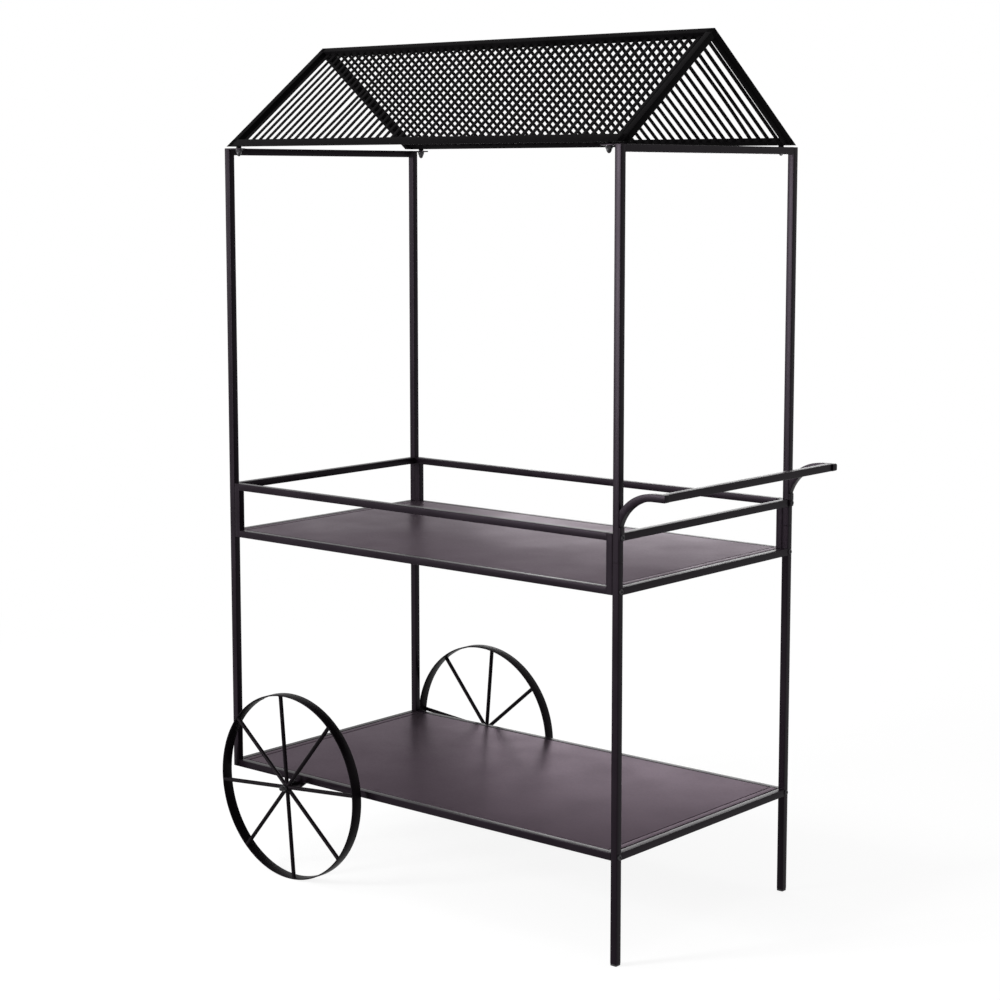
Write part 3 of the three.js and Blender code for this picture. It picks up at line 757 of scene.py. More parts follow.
@dataclass
class EndFrames:
    """The four posts in two lengths each, their feet, and the cross tubes at both ends."""

    seam: float = 0.852
    foot_height: float = 0.004
    seam_softening: float = 0.0007
    tab_length: float = 0.037
    tab_thickness: float = 0.003
    bead: float = 0.0011
    rungs: tuple[str, ...] = ("shelf_rung", "tray_lower_rung", "tray_upper_rung", "top_bar")

    def levels(self) -> dict[str, float]:
        """The middle height of each cross tube, by name."""
        tops = (SIZES.shelf_top, SIZES.tray_top, SIZES.rim_top, SIZES.post_top)
        return {name: top - SIZES.half_tube for name, top in zip(self.rungs, tops)}

    def post(self, end: End, side: Side, bottom: float, top: float) -> MeshDraft:
        """One length of a post, between two levels."""
        draft = MeshDraft()
        start = SIZES.at(end.value * SIZES.post_x, side.value * SIZES.post_y, bottom)
        draft.bar(Along.Z, start, top - bottom, SIZES.tube, SIZES.corner, self.seam_softening)
        return draft

    def tab(self, draft: MeshDraft, end: End, side: Side) -> None:
        """The flat tab at a post's top that the roof is bolted to."""
        root = end.value * (SIZES.inner_x + 0.0004)
        tip = end.value * (SIZES.inner_x - self.tab_length)
        y0 = side.value * SIZES.half_width
        y1 = side.value * SIZES.inner_y
        z = SIZES.post_top - self.tab_thickness
        outline = [SIZES.at(x, y, z) for x, y in ((root, y0), (tip, y0), (tip, y1), (root, y1))]
        draft.prism(outline, Vector((0, 0, self.tab_thickness)), 0.0005)

    def foot(self, side: Side) -> MeshDraft:
        """A plastic foot under a rear post: a flange with an eased sole, and its plug."""
        draft = MeshDraft()
        centre = SIZES.at(SIZES.post_x, side.value * SIZES.post_y, 0)
        wide, plug, ease, corner = SIZES.tube, 0.013, 0.001, 0.002
        sections = [
            (rounded_rectangle(wide - 2 * ease, wide - 2 * ease, ease), 0.0),
            (rounded_rectangle(wide - 0.6 * ease, wide - 0.6 * ease, 1.7 * ease), 0.3 * ease),
            (rounded_rectangle(wide, wide, corner), ease),
            (rounded_rectangle(wide, wide, corner), self.foot_height - 0.3 * ease),
            (rounded_rectangle(wide - 0.6 * ease, wide - 0.6 * ease, 1.7 * ease), self.foot_height),
            (rounded_rectangle(plug, plug, ease), self.foot_height),
            (rounded_rectangle(plug, plug, ease), self.foot_height + 0.014),
        ]
        draft.stacked(sections, centre, Vector((0, 0, 1)))
        return draft

    def build(self, shop: Workshop) -> None:
        """Makes the posts, feet, cross tubes and their welds.

        Args:
            shop: The workshop that dresses the pieces.
        """
        for end in End:
            bottom = SIZES.shelf_top - SIZES.tube if end is End.FRONT else self.foot_height
            welds = MeshDraft()
            for side in Side:
                corner = f"{end.label}_{side.label}"
                lower = self.post(end, side, bottom, self.seam)
                shop.piece(f"{corner}_lower_post_tube", lower, FRAME_COAT, STAND, [f"lower_post_{corner}"])
                upper = self.post(end, side, self.seam, SIZES.post_top)
                self.tab(upper, end, side)
                shop.piece(f"{corner}_upper_post_tube", upper, FRAME_COAT, STAND, [f"upper_post_{corner}"])
            for name, level in self.levels().items():
                rung = MeshDraft()
                start = SIZES.at(end.value * SIZES.post_x, -SIZES.inner_y, level)
                rung.bar(Along.Y, start, 2 * SIZES.inner_y, SIZES.tube, SIZES.corner, 0.0001)
                shop.piece(f"{end.label}_{name}_tube", rung, FRAME_COAT, STAND, [f"{name}_{end.label}"])
                for side in Side:
                    joint = SIZES.at(end.value * SIZES.post_x, side.value * SIZES.inner_y, level)
                    welds.bead(Along.Y, joint, SIZES.tube - 0.0012, self.bead)
            shop.piece(f"{end.label}_frame_welds", welds, FRAME_COAT, STAND, sharp_degrees=80)
        for side in Side:
            shop.piece(f"{side.label}_rear_foot", self.foot(side), FOOT_PLASTIC, STAND,
                       [f"foot_rear_{side.label}"])


# ----------------------------------------------------------------- tray, shelf


@dataclass
class Deck:
    """A deck: a folded sheet panel on two channels, between two end rails of tube."""

    name: str
    top: float
    gap: float = 0.003
    groove: float = 0.002
    sheet: float = 0.001
    fold: float = 0.0012
    panel_corner: float = 0.002
    lip: float = 0.013
    channel_width: float = 0.02
    channel_height: float = 0.012
    channel_offset: float = 0.11

    @property
    def rail_outer(self) -> float:
        """Middle of the deck to the outer face of its end rail."""
        return SIZES.inner_x - self.gap

    def panel(self) -> MeshDraft:
        """The sheet panel: a pan of sheet steel with folded edges, its open side down."""
        draft = MeshDraft()
        half_x = self.rail_outer - SIZES.tube - self.groove
        half_y = SIZES.inner_y - self.groove
        fold_steps = 5
        profile = [(self.fold, 0.0)]
        for step in range(1, fold_steps + 1):
            angle = QUARTER_TURN * step / fold_steps
            profile.append((self.fold * (1 - math.sin(angle)), -self.fold * (1 - math.cos(angle))))
        profile += [(0.0, -self.lip), (self.sheet, -self.lip), (self.sheet, -self.sheet - self.fold)]
        profile.append((self.sheet + self.fold, -self.sheet))
        rings = []
        for inset, depth in profile:
            outline = rounded_rectangle(
                2 * (half_x - inset), 2 * (half_y - inset), max(0.0003, self.panel_corner - inset / 2), 5,
            )
            rings.append([SIZES.at(x, y, self.top + depth) for x, y in outline])
        draft.loft(rings)
        return draft

    def channel(self, y: float) -> MeshDraft:
        """A channel under the panel, open below, at a distance from the middle."""
        wall = 0.0012
        w, h = self.channel_width / 2, self.channel_height
        section = [(-w, -h), (-w, 0), (w, 0), (w, -h), (w - wall, -h), (w - wall, -wall),
                   (wall - w, -wall), (wall - w, -h)]
        reach = self.rail_outer - SIZES.tube
        z = self.top - self.sheet
        draft = MeshDraft()
        outline = [SIZES.at(-reach, y + u, z + v) for u, v in section]
        draft.prism(outline, Vector((2 * reach, 0, 0)), 0.0002, 1)
        return draft

    def build(self, shop: Workshop) -> None:
        """Makes the panel with its channels and end rails.

        Args:
            shop: The workshop that dresses the pieces.
        """
        shop.piece(f"{self.name}_panel", self.panel(), DECK_COAT, STAND, [f"{self.name}_deck"])
        for side in Side:
            shop.piece(f"{self.name}_{side.label}_channel", self.channel(side.value * self.channel_offset),
                       DECK_COAT, STAND)
        for end in End:
            rail = MeshDraft()
            reach = SIZES.inner_y - 0.0003
            x = end.value * (self.rail_outer - SIZES.half_tube)
            rail.bar(Along.Y, SIZES.at(x, -reach, self.top - SIZES.half_tube), 2 * reach, SIZES.tube,
                     SIZES.corner)
            shop.piece(f"{self.name}_{end.label}_deck_rail", rail, DECK_COAT, STAND)


@dataclass
class TraySides:
    """The two bolted side frames of the tray: two rails and two uprights each."""

    post_gap: float = 0.0005
    bead: float = 0.0011

    def build(self, shop: Workshop) -> None:
        """Makes the rails, the uprights and their welds.

        Args:
            shop: The workshop that dresses the pieces.
        """
        upright_x = SIZES.inner_x - self.post_gap - SIZES.half_tube
        reach = upright_x - SIZES.half_tube
        bottom = SIZES.tray_top - SIZES.tube
        levels = {
            "tray_top_rail": SIZES.rim_top - SIZES.half_tube,
            "tray_bottom_rail": SIZES.tray_top - SIZES.half_tube,
        }
        for side in Side:
            y = side.value * SIZES.post_y
            welds = MeshDraft()
            for name, level in levels.items():
                rail = MeshDraft()
                rail.bar(Along.X, SIZES.at(-reach, y, level), 2 * reach, SIZES.tube, SIZES.corner, 0.0001)
                shop.piece(f"{side.label}_{name}_tube", rail, FRAME_COAT, STAND, [f"{name}_{side.label}"])
                for end in End:
                    welds.bead(Along.X, SIZES.at(end.value * reach, y, level), SIZES.tube - 0.0012, self.bead)
            for end in End:
                upright = MeshDraft()
                upright.bar(Along.Z, SIZES.at(end.value * upright_x, y, bottom), SIZES.rim_top - bottom,
                            SIZES.tube, SIZES.corner, 0.0006)
                corner = f"{end.label}_{side.label}"
                shop.piece(f"{corner}_tray_upright_tube", upright, FRAME_COAT, STAND,
                           [f"tray_upright_{corner}"])
            shop.piece(f"{side.label}_tray_welds", welds, FRAME_COAT, STAND, sharp_degrees=80)


@dataclass
class ShelfRails:
    """The two side rails of the shelf."""

    post_gap: float = 0.0005

    def build(self, shop: Workshop) -> None:
        """Makes both rails.

        Args:
            shop: The workshop that dresses the pieces.
        """
        reach = SIZES.inner_x - self.post_gap
        for side in Side:
            rail = MeshDraft()
            start = SIZES.at(-reach, side.value * SIZES.post_y, SIZES.shelf_top - SIZES.half_tube)
            rail.bar(Along.X, start, 2 * reach, SIZES.tube, SIZES.corner, 0.0006)
            shop.piece(f"{side.label}_shelf_rail_tube", rail, FRAME_COAT, STAND,
                       [f"shelf_side_rail_{side.label}"])


# ------------------------------------------------------------------- fasteners


@dataclass
class FrameBolts:
    """Button-head bolts with a hexagon socket, three through each post."""

    shank: float = 0.003
    head_radius: float = 0.0058
    land: float = 0.0032
    head_height: float = 0.0035
    length: float = 0.024
    socket: float = 0.0046
    socket_depth: float = 0.002
    plate: float = 0.003
    steps: int = 36

    def bolt(self, seat: Vector, facing: Vector, length: float) -> MeshDraft:
        """A bolt with its head's underside at a seat.

        Args:
            seat: The middle of the head's underside.
            facing: The way that the head looks.
            length: The shank's length.

        Returns:
            The bolt's draft.
        """
        curve = 7
        sections: list[tuple[Section, float]] = [
            (circle(self.shank, self.steps), -length),
            (circle(self.shank, self.steps), 0.0),
            (circle(self.head_radius, self.steps), 0.0),
            (circle(self.head_radius, self.steps), 0.0004),
        ]
        for step in range(1, curve + 1):
            angle = QUARTER_TURN * step / curve
            radius = self.land + (self.head_radius - self.land) * math.cos(angle)
            sections.append((circle(radius, self.steps), 0.0004 + (self.head_height - 0.0004) * math.sin(angle)))
        rim = polygon(self.socket + 0.0004, 6, self.steps)
        wall = polygon(self.socket, 6, self.steps)
        floor = self.head_height - self.socket_depth
        sections += [(rim, self.head_height), (wall, self.head_height - 0.0002), (wall, floor),
                     (circle(0.0002, self.steps), floor - 0.0004)]
        draft = MeshDraft()
        draft.stacked(sections, seat, facing)
        return draft

    def build(self, shop: Workshop) -> None:
        """Makes the twelve bolts.

        Args:
            shop: The workshop that dresses the pieces.
        """
        levels = {"lower": SIZES.shelf_top, "middle": SIZES.tray_top, "upper": SIZES.rim_top}
        for end in End:
            for side in Side:
                for name, top in levels.items():
                    plate = self.plate if end is End.REAR and name == "upper" else 0.0
                    seat = SIZES.at(end.value * (SIZES.half_length + plate), side.value * SIZES.post_y,
                                    top - SIZES.half_tube)
                    draft = self.bolt(seat, Vector((end.value, 0, 0)), self.length + plate)
                    corner = f"{end.label}_{side.label}"
                    shop.piece(f"{corner}_{name}_button_bolt", draft, FASTENER_STEEL, STAND,
                               [f"frame_bolt_{name}_{corner}"])


@dataclass
class DomedHexagon:
    """A hexagon with eased corners under a dome, as on cap nuts and cap bolts."""

    across_flats: float = 0.013
    hex_height: float = 0.0065
    dome_radius: float = 0.0062
    height: float = 0.018
    steps: int = 36

    def draw(self, draft: MeshDraft, seat: Vector, facing: Vector, start: float = 0.0) -> None:
        """Adds the hexagon and its dome to a draft.

        Args:
            draft: The draft that gets them.
            seat: The point of the axis at height 0.
            facing: The way that the dome looks.
            start: The height of the hexagon's underside.
        """
        ease = 0.0005
        sections: list[tuple[Section, float]] = [
            (circle(self.across_flats / 2 - ease, self.steps), start),
            (polygon(self.across_flats, 6, self.steps), start + ease),
            (polygon(self.across_flats, 6, self.steps), self.hex_height - ease),
            (circle(self.across_flats / 2 - 0.2 * ease, self.steps), self.hex_height),
            (circle(self.dome_radius, self.steps), self.hex_height + 0.0001),
        ]
        curve = 8
        for step in range(1, curve + 1):
            angle = QUARTER_TURN * step / curve
            radius = max(self.dome_radius * math.cos(angle), 0.0001)
            rise = (self.height - self.hex_height) * math.sin(angle)
            sections.append((circle(radius, self.steps), self.hex_height + rise))
        draft.stacked(sections, seat, facing)


@dataclass
class RoofBolts:
    """Domed cap bolts with washers, under the tabs at the posts' tops."""

    bolt_x: float = 0.5425
    bolt_y: float = 0.312
    tab: float = 0.003
    washer_radius: float = 0.0085
    washer: float = 0.0015
    shank_length: float = 0.0077
    cap: DomedHexagon = field(default_factory=lambda: DomedHexagon(
        hex_height=0.0065, dome_radius=0.0059, height=0.0157,
    ))

    def build(self, shop: Workshop) -> None:
        """Makes the four bolts.

        Args:
            shop: The workshop that dresses the pieces.
        """
        down = Vector((0, 0, -1))
        for end in End:
            for side in Side:
                seat = SIZES.at(end.value * self.bolt_x, side.value * self.bolt_y, SIZES.post_top - self.tab)
                draft = MeshDraft()
                ease = 0.0003
                draft.turned(
                    [(0, -self.shank_length), (0.003, -self.shank_length), (0.003, 0),
                     (self.washer_radius - ease, 0), (self.washer_radius, ease),
                     (self.washer_radius, self.washer - ease), (self.washer_radius - ease, self.washer),
                     (0, self.washer)],
                    seat, down, 40,
                )
                self.cap.draw(draft, seat, down, self.washer)
                corner = f"{end.label}_{side.label}"
                shop.piece(f"{corner}_roof_cap_bolt", draft, FASTENER_STEEL, STAND, [f"roof_bolt_{corner}"])


# ---------------------------------------------------------------------- handle


@dataclass
class PushHandle:
    """Two bent arms on plates, and the bar between them."""

    outer_radius: float = 0.1028
    centre_x: float = 0.6646
    top: float = 1.002
    end: float = 0.696
    nose: float = 0.003
    bar_face: float = 0.6925
    plate_thickness: float = 0.003
    plate_bottom: float = 0.896
    plate_top: float = 0.926
    plate_corner: float = 0.003
    arc_steps: int = 26

    def arm(self, side: Side) -> MeshDraft:
        """An arm's tube: a quarter bend that leaves the plate, and a short straight with a round nose."""
        middle = self.outer_radius - SIZES.half_tube
        centre = SIZES.at(self.centre_x, side.value * SIZES.post_y, self.top - self.outer_radius)
        section = rounded_rectangle(SIZES.tube, SIZES.tube, SIZES.corner)
        rings = []
        start_angle = math.radians(176)
        for step in range(self.arc_steps + 1):
            angle = start_angle + (QUARTER_TURN - start_angle) * step / self.arc_steps
            out = Vector((math.cos(angle), 0, math.sin(angle)))
            rings.append([centre + out * (middle + u) + Vector((0, v, 0)) for u, v in section])
        straight, nose_steps = self.end - self.nose - self.centre_x, 6
        for step in range(nose_steps + 1):
            angle = QUARTER_TURN * step / nose_steps
            height = SIZES.tube - 2 * self.nose * (1 - math.cos(angle))
            inset = 0.0007 * max(0, step - nose_steps + 1)
            eased = rounded_rectangle(height, SIZES.tube - 2 * inset, SIZES.corner - inset)
            reach = straight + self.nose * math.sin(angle)
            rings.append([centre + Vector((reach, v, middle + u)) for u, v in eased])
        rough = MeshDraft()
        rough.loft(rings)
        solid = bmesh.new()
        solid.from_mesh(rough.to_mesh("arm_blank", 38.0))
        cut = SIZES.at(SIZES.half_length + self.plate_thickness / 2, 0, 0)
        everything = solid.verts[:] + solid.edges[:] + solid.faces[:]
        bmesh.ops.bisect_plane(solid, geom=everything, plane_co=cut, plane_no=(1, 0, 0), clear_inner=True)
        bmesh.ops.holes_fill(solid, edges=[edge for edge in solid.edges if edge.is_boundary])
        draft = MeshDraft()
        draft.take(solid)
        return draft

    def plate(self, draft: MeshDraft, side: Side) -> None:
        """The flat plate that a bolt holds to the post."""
        height = self.plate_top - self.plate_bottom
        middle = (self.plate_top + self.plate_bottom) / 2
        base = SIZES.at(SIZES.half_length, side.value * SIZES.post_y, middle)
        outline = [
            base + Vector((0, u, v))
            for u, v in rounded_rectangle(SIZES.tube, height, self.plate_corner, 6)
        ]
        draft.prism(outline, Vector((self.plate_thickness, 0, 0)), 0.0004)

    def build(self, shop: Workshop) -> None:
        """Makes both arms, the bar and its welds.

        Args:
            shop: The workshop that dresses the pieces.
        """
        for side in Side:
            draft = self.arm(side)
            self.plate(draft, side)
            shop.piece(f"{side.label}_push_arm", draft, FRAME_COAT, STAND, [f"handle_arm_{side.label}"])
        x, z = self.bar_face - SIZES.half_tube, self.top - SIZES.half_tube
        bar = MeshDraft()
        bar.bar(Along.Y, SIZES.at(x, -SIZES.inner_y, z), 2 * SIZES.inner_y, SIZES.tube, SIZES.corner, 0.0001)
        shop.piece("push_bar", bar, FRAME_COAT, STAND, ["handle_bar"])
        welds = MeshDraft()
        for side in Side:
            welds.bead(Along.Y, SIZES.at(x, side.value * SIZES.inner_y, z), SIZES.tube - 0.0022, 0.001)
        shop.piece("push_bar_welds", welds, FRAME_COAT, STAND, sharp_degrees=80)


# -------------------------------------------------------------- wheels and axle


@dataclass
class Wheel:
    """A spoked wheel: a hoop of flat bar, round spokes and a hub, welded together."""

    side: Side
    turn_degrees: float
    axle_x: float = -0.362
    radius: float = 0.218
    rim_width: float = 0.028
    rim_thickness: float = 0.003
    middle_y: float = 0.346
    spoke_y: float = 0.3555
    spoke_radius: float = 0.00475
    spokes: int = 8
    hub_radius: float = 0.0085
    hub_inner: float = 0.328
    hub_outer: float = 0.362
    bore: float = 0.0041

    @property
    def outward(self) -> Vector:
        """The way that the wheel's outer side looks."""
        return Vector((0, self.side.value, 0))

    def centre(self, y: float) -> Vector:
        """The point of the axle at a distance from the cart's middle."""
        return SIZES.at(self.axle_x, self.side.value * y, self.radius)

    def spoke_way(self, number: int) -> Vector:
        """The direction of a spoke, out from the hub."""
        angle = math.radians(self.turn_degrees) + FULL_TURN * number / self.spokes
        return Vector((math.cos(angle), 0, math.sin(angle)))

    def rim(self) -> MeshDraft:
        """The hoop, with rolled edges and the seam where its bar's ends are welded."""
        half, inner, ease = self.rim_width / 2, self.radius - self.rim_thickness, 0.0008
        profile = [
            (inner, -half + ease), (inner + 0.3 * ease, -half + 0.3 * ease), (inner + ease, -half),
            (self.radius - ease, -half), (self.radius - 0.3 * ease, -half + 0.3 * ease),
            (self.radius, -half + ease), (self.radius, half - ease),
            (self.radius - 0.3 * ease, half - 0.3 * ease), (self.radius - ease, half),
            (inner + ease, half), (inner + 0.3 * ease, half - 0.3 * ease), (inner, half - ease),
        ]
        draft = MeshDraft()
        draft.turned(profile, self.centre(self.middle_y), self.outward, 216, looped=True)
        way = self.spoke_way(2) + self.spoke_way(3)
        way.normalize()
        seam = self.centre(self.middle_y) + way * inner
        across = [seam + Vector((0, half * share, 0)) for share in (-0.96, -0.6, -0.2, 0.2, 0.6, 0.96)]
        draft.rod(across, [0.0007, 0.0012, 0.001, 0.0013, 0.0011, 0.0007], 10)
        return draft

    def star(self) -> MeshDraft:
        """The hub with its bore, the spokes, and the weld fillets at both ends of each."""
        draft = MeshDraft()
        inner, outer = self.hub_inner, self.hub_outer
        length, ease = outer - inner, 0.0008
        draft.turned(
            [(self.bore, 0.0), (self.hub_radius - ease, 0.0), (self.hub_radius, ease),
             (self.hub_radius, length - ease), (self.hub_radius - ease, length), (self.bore, length)],
            self.centre(inner), self.outward, 48, looped=True,
        )
        reach = self.radius - self.rim_thickness - 0.0003
        for number in range(self.spokes):
            way = self.spoke_way(number)
            middle = self.centre(self.spoke_y)
            stations = [
                (0.0062, 0.0061), (self.hub_radius + 0.0008, 0.0059), (self.hub_radius + 0.0026, 0.0051),
                (self.hub_radius + 0.0044, self.spoke_radius), (reach / 2, self.spoke_radius),
                (reach - 0.003, self.spoke_radius), (reach - 0.0014, 0.0049), (reach - 0.0004, 0.0053),
                (reach, 0.0054),
            ]
            draft.rod([middle + way * out for out, _ in stations], [size for _, size in stations], 20)
        return draft

    def build(self, shop: Workshop) -> None:
        """Makes the hoop and the star of this wheel.

        Args:
            shop: The workshop that dresses the pieces.
        """
        label = self.side.label
        body = f"wheel_{label}"
        shop.piece(f"{label}_wheel_hoop", self.rim(), WHEEL_COAT, body, [f"wheel_rim_{label}"])
        shop.piece(f"{label}_wheel_star", self.star(), WHEEL_COAT, body, [f"wheel_spokes_{label}"],
                   sharp_degrees=50)


@dataclass
class RunningGear:
    """The axle under the shelf, its brackets and its domed nuts."""

    axle_x: float = -0.362
    axle_z: float = 0.218
    axle_radius: float = 0.004
    half_axle: float = 0.3715
    nut_face: float = 0.3623
    half_top: float = 0.025
    toe: float = 0.0095
    inner_face: float = 0.311
    outer_face: float = 0.317
    boss: float = 0.0065
    boss_end: float = 0.3275
    nut: DomedHexagon = field(default_factory=DomedHexagon)

    def on_axle(self, y: float) -> Vector:
        """A point of the axle."""
        return SIZES.at(self.axle_x, y, self.axle_z)

    def bracket(self, side: Side) -> MeshDraft:
        """A tapered plate under the side rail, with the boss that spaces the wheel."""
        top = SIZES.shelf_top - SIZES.tube - self.axle_z
        corner_angle = math.atan2(top, self.half_top)
        tangent = math.acos(self.toe / math.hypot(self.half_top, top))
        start = math.pi - corner_angle + tangent
        stop = FULL_TURN + corner_angle - tangent
        steps = 20
        points = [(-self.half_top, top)]
        for step in range(steps + 1):
            angle = start + (stop - start) * step / steps
            points.append((self.toe * math.cos(angle), self.toe * math.sin(angle)))
        points.append((self.half_top, top))
        base = self.on_axle(side.value * self.inner_face)
        draft = MeshDraft()
        outline = [base + Vector((x, 0, z)) for x, z in points]
        push = Vector((0, side.value * (self.outer_face - self.inner_face), 0))
        draft.prism(outline, push, 0.0005)
        length, ease = self.boss_end - self.inner_face, 0.0006
        draft.turned(
            [(0.0041, 0.001), (self.boss + 0.001, 0.001), (self.boss + 0.001, 0.0065), (self.boss, 0.0078),
             (self.boss, length - ease), (self.boss - ease, length), (0.0041, length)],
            base, Vector((0, side.value, 0)), 40, looped=True,
        )
        return draft

    def build(self, shop: Workshop) -> None:
        """Makes the axle, both brackets and both nuts.

        Args:
            shop: The workshop that dresses the pieces.
        """
        axle, ease = MeshDraft(), 0.0005
        length = 2 * self.half_axle
        axle.turned(
            [(0, 0), (self.axle_radius - ease, 0), (self.axle_radius, ease), (self.axle_radius, length - ease),
             (self.axle_radius - ease, length), (0, length)],
            self.on_axle(-self.half_axle), Vector((0, 1, 0)), 32,
        )
        shop.piece("wheel_axle_rod", axle, FASTENER_STEEL, STAND, ["axle"])
        for side in Side:
            label = side.label
            shop.piece(f"{label}_axle_plate", self.bracket(side), FRAME_COAT, STAND, [f"axle_bracket_{label}"])
            nut = MeshDraft()
            self.nut.draw(nut, self.on_axle(side.value * self.nut_face), Vector((0, side.value, 0)))
            shop.piece(f"{label}_domed_axle_nut", nut, FASTENER_STEEL, STAND, [f"axle_nut_{label}"])


# ------------------------------------------------------------------------ roof


@dataclass
class RoofSlope:
    """One slope of the roof: rafters, half ridge and eave member, filled with flat bars."""

    side: Side
    bent_bars: dict[int, float]
    half_length: float = 0.5787
    ridge_height: float = 1.942
    eave_height: float = 1.702
    eave_reach: float = 0.318
    eave_face: float = 0.028
    eave_depth: float = 0.012
    bars: int = 48
    pitch: float = 0.0233
    bar_width: float = 0.01
    bar_thickness: float = 0.002
    bar_depth: float = 0.008
    bite: float = 0.0006
    mitre_gap: float = 0.0003
    boss_x: float = 0.5425
    boss_y: float = 0.312
    seed: int = 11

    @property
    def length(self) -> float:
        """From the ridge to the eave's sharp edge, along the slope."""
        return math.hypot(self.eave_reach, self.ridge_height - self.eave_height)

    def point(self, x: float, down: float, depth: float) -> Vector:
        """A point of the slope.

        Args:
            x: Distance from the middle of the roof along the ridge.
            down: Distance down the slope.
            depth: Depth below its outer face.

        Returns:
            The point in the frame's axes.
        """
        cosine = self.eave_reach / self.length
        sine = (self.ridge_height - self.eave_height) / self.length
        y = down * cosine - depth * sine
        z = self.ridge_height - down * sine - depth * cosine
        return SIZES.at(x, self.side.value * y, z)

    def down_at_eave(self, depth: float) -> float:
        """How far down the slope a depth line meets the level cut of the eave."""
        cosine = self.eave_reach / self.length
        sine = (self.ridge_height - self.eave_height) / self.length
        return (self.ridge_height - self.eave_height - depth * cosine) / sine

    def down_at_ridge(self, depth: float) -> float:
        """How far down the slope a depth line leaves the upright plane at the ridge."""
        cosine = self.eave_reach / self.length
        sine = (self.ridge_height - self.eave_height) / self.length
        return (self.mitre_gap / 2 + depth * sine) / cosine

    def member(self, draft: MeshDraft, section: Section, x0: float, x1: float, softening: float) -> None:
        """A member of the slope's frame, from a section of down and depth pairs."""
        outline = [self.point(x0, down, depth) for down, depth in section]
        draft.prism(outline, Vector((x1 - x0, 0, 0)), softening, 3)

    def welded_frame(self) -> MeshDraft:
        """Half the ridge, the eave member, both rafters and the bolt bosses."""
        draft = MeshDraft()
        tube, eave_top = SIZES.tube, self.length - self.eave_face
        ridge = [(self.down_at_ridge(0), 0.0), (tube, 0.0), (tube, tube), (self.down_at_ridge(tube), tube)]
        eave = [
            (eave_top, 0.0), (self.length, 0.0),
            (self.down_at_eave(self.eave_depth), self.eave_depth), (eave_top, self.eave_depth),
        ]
        rafter = [
            (self.down_at_ridge(0), 0.0), (self.length - 0.0001, 0.0),
            (self.down_at_eave(tube), tube), (self.down_at_ridge(tube), tube),
        ]
        self.member(draft, ridge, -self.half_length, self.half_length, 0.0009)
        self.member(draft, eave, -self.half_length, self.half_length, 0.0007)
        for start in (-self.half_length, self.half_length - tube):
            self.member(draft, rafter, start, start + tube, 0.001)
        for end in End:
            foot = SIZES.at(end.value * self.boss_x, self.side.value * self.boss_y, SIZES.post_top + 0.0003)
            draft.turned([(0.0033, 0), (0.0056, 0), (0.006, 0.0004), (0.006, 0.006), (0.0033, 0.006)],
                         foot, Vector((0, 0, 1)), 32, looped=True)
        return draft

    def bar_field(self) -> MeshDraft:
        """The flat bars, some of them bent a little sideways, with a weld fillet at each end."""
        draft = MeshDraft()
        chance = random.Random(self.seed + self.side.value)
        start, stop = SIZES.tube - self.bite, self.length - self.eave_face + self.bite
        weld = ((0.0, 0.0012), (0.0014, 0.0009), (0.0028, 0.0))
        bends, corner = 6, 0.0005
        stations = [(start + reach, proud) for reach, proud in weld]
        stations += [(start + (stop - start) * bend / bends, 0.0) for bend in range(1, bends)]
        stations += [(stop - reach, proud) for reach, proud in reversed(weld)]
        for number in range(self.bars):
            x = (number - (self.bars - 1) / 2) * self.pitch
            sway = self.bent_bars.get(number, chance.uniform(-0.0005, 0.0005))
            rings = []
            for down, proud in stations:
                lean = sway * math.sin(math.pi * (down - start) / (stop - start))
                section = rounded_rectangle(
                    self.bar_width + proud, self.bar_thickness + proud, corner + proud / 2, 2,
                )
                rings.append([self.point(x + lean + u, down, self.bar_depth + v) for u, v in section])
            draft.loft(rings)
        return draft

    def build(self, shop: Workshop) -> None:
        """Makes the slope's frame and its bars.

        Args:
            shop: The workshop that dresses the pieces.
        """
        label = self.side.label
        shop.piece(f"{label}_roof_frame", self.welded_frame(), ROOF_COAT, STAND, [f"roof_slope_{label}"])
        shop.piece(f"{label}_roof_bars", self.bar_field(), ROOF_COAT, STAND)


# ---------------------------------------------------------------------- studio


@dataclass(frozen=True)
class SoftLamp:
    """A large soft lamp."""

    name: str
    place: tuple[float, float, float]
    power: float
    width: float
    height: float
    aim: tuple[float, float, float] = (0.0, 0.0, 0.95)

    def build(self) -> None:
        """Hangs the lamp."""
        data = bpy.data.lights.new(self.name, "AREA")
        data.shape = "RECTANGLE"
        data.size = self.width
        data.size_y = self.height
        data.energy = self.power
        lamp = bpy.data.objects.new(self.name, data)
        lamp.location = self.place
        lamp.rotation_euler = (Vector(self.aim) - Vector(self.place)).to_track_quat("-Z", "Y").to_euler()
        lamp.visible_camera = False
        bpy.context.scene.collection.objects.link(lamp)
        log.info("lamp %s: %.0f W", self.name, self.power)


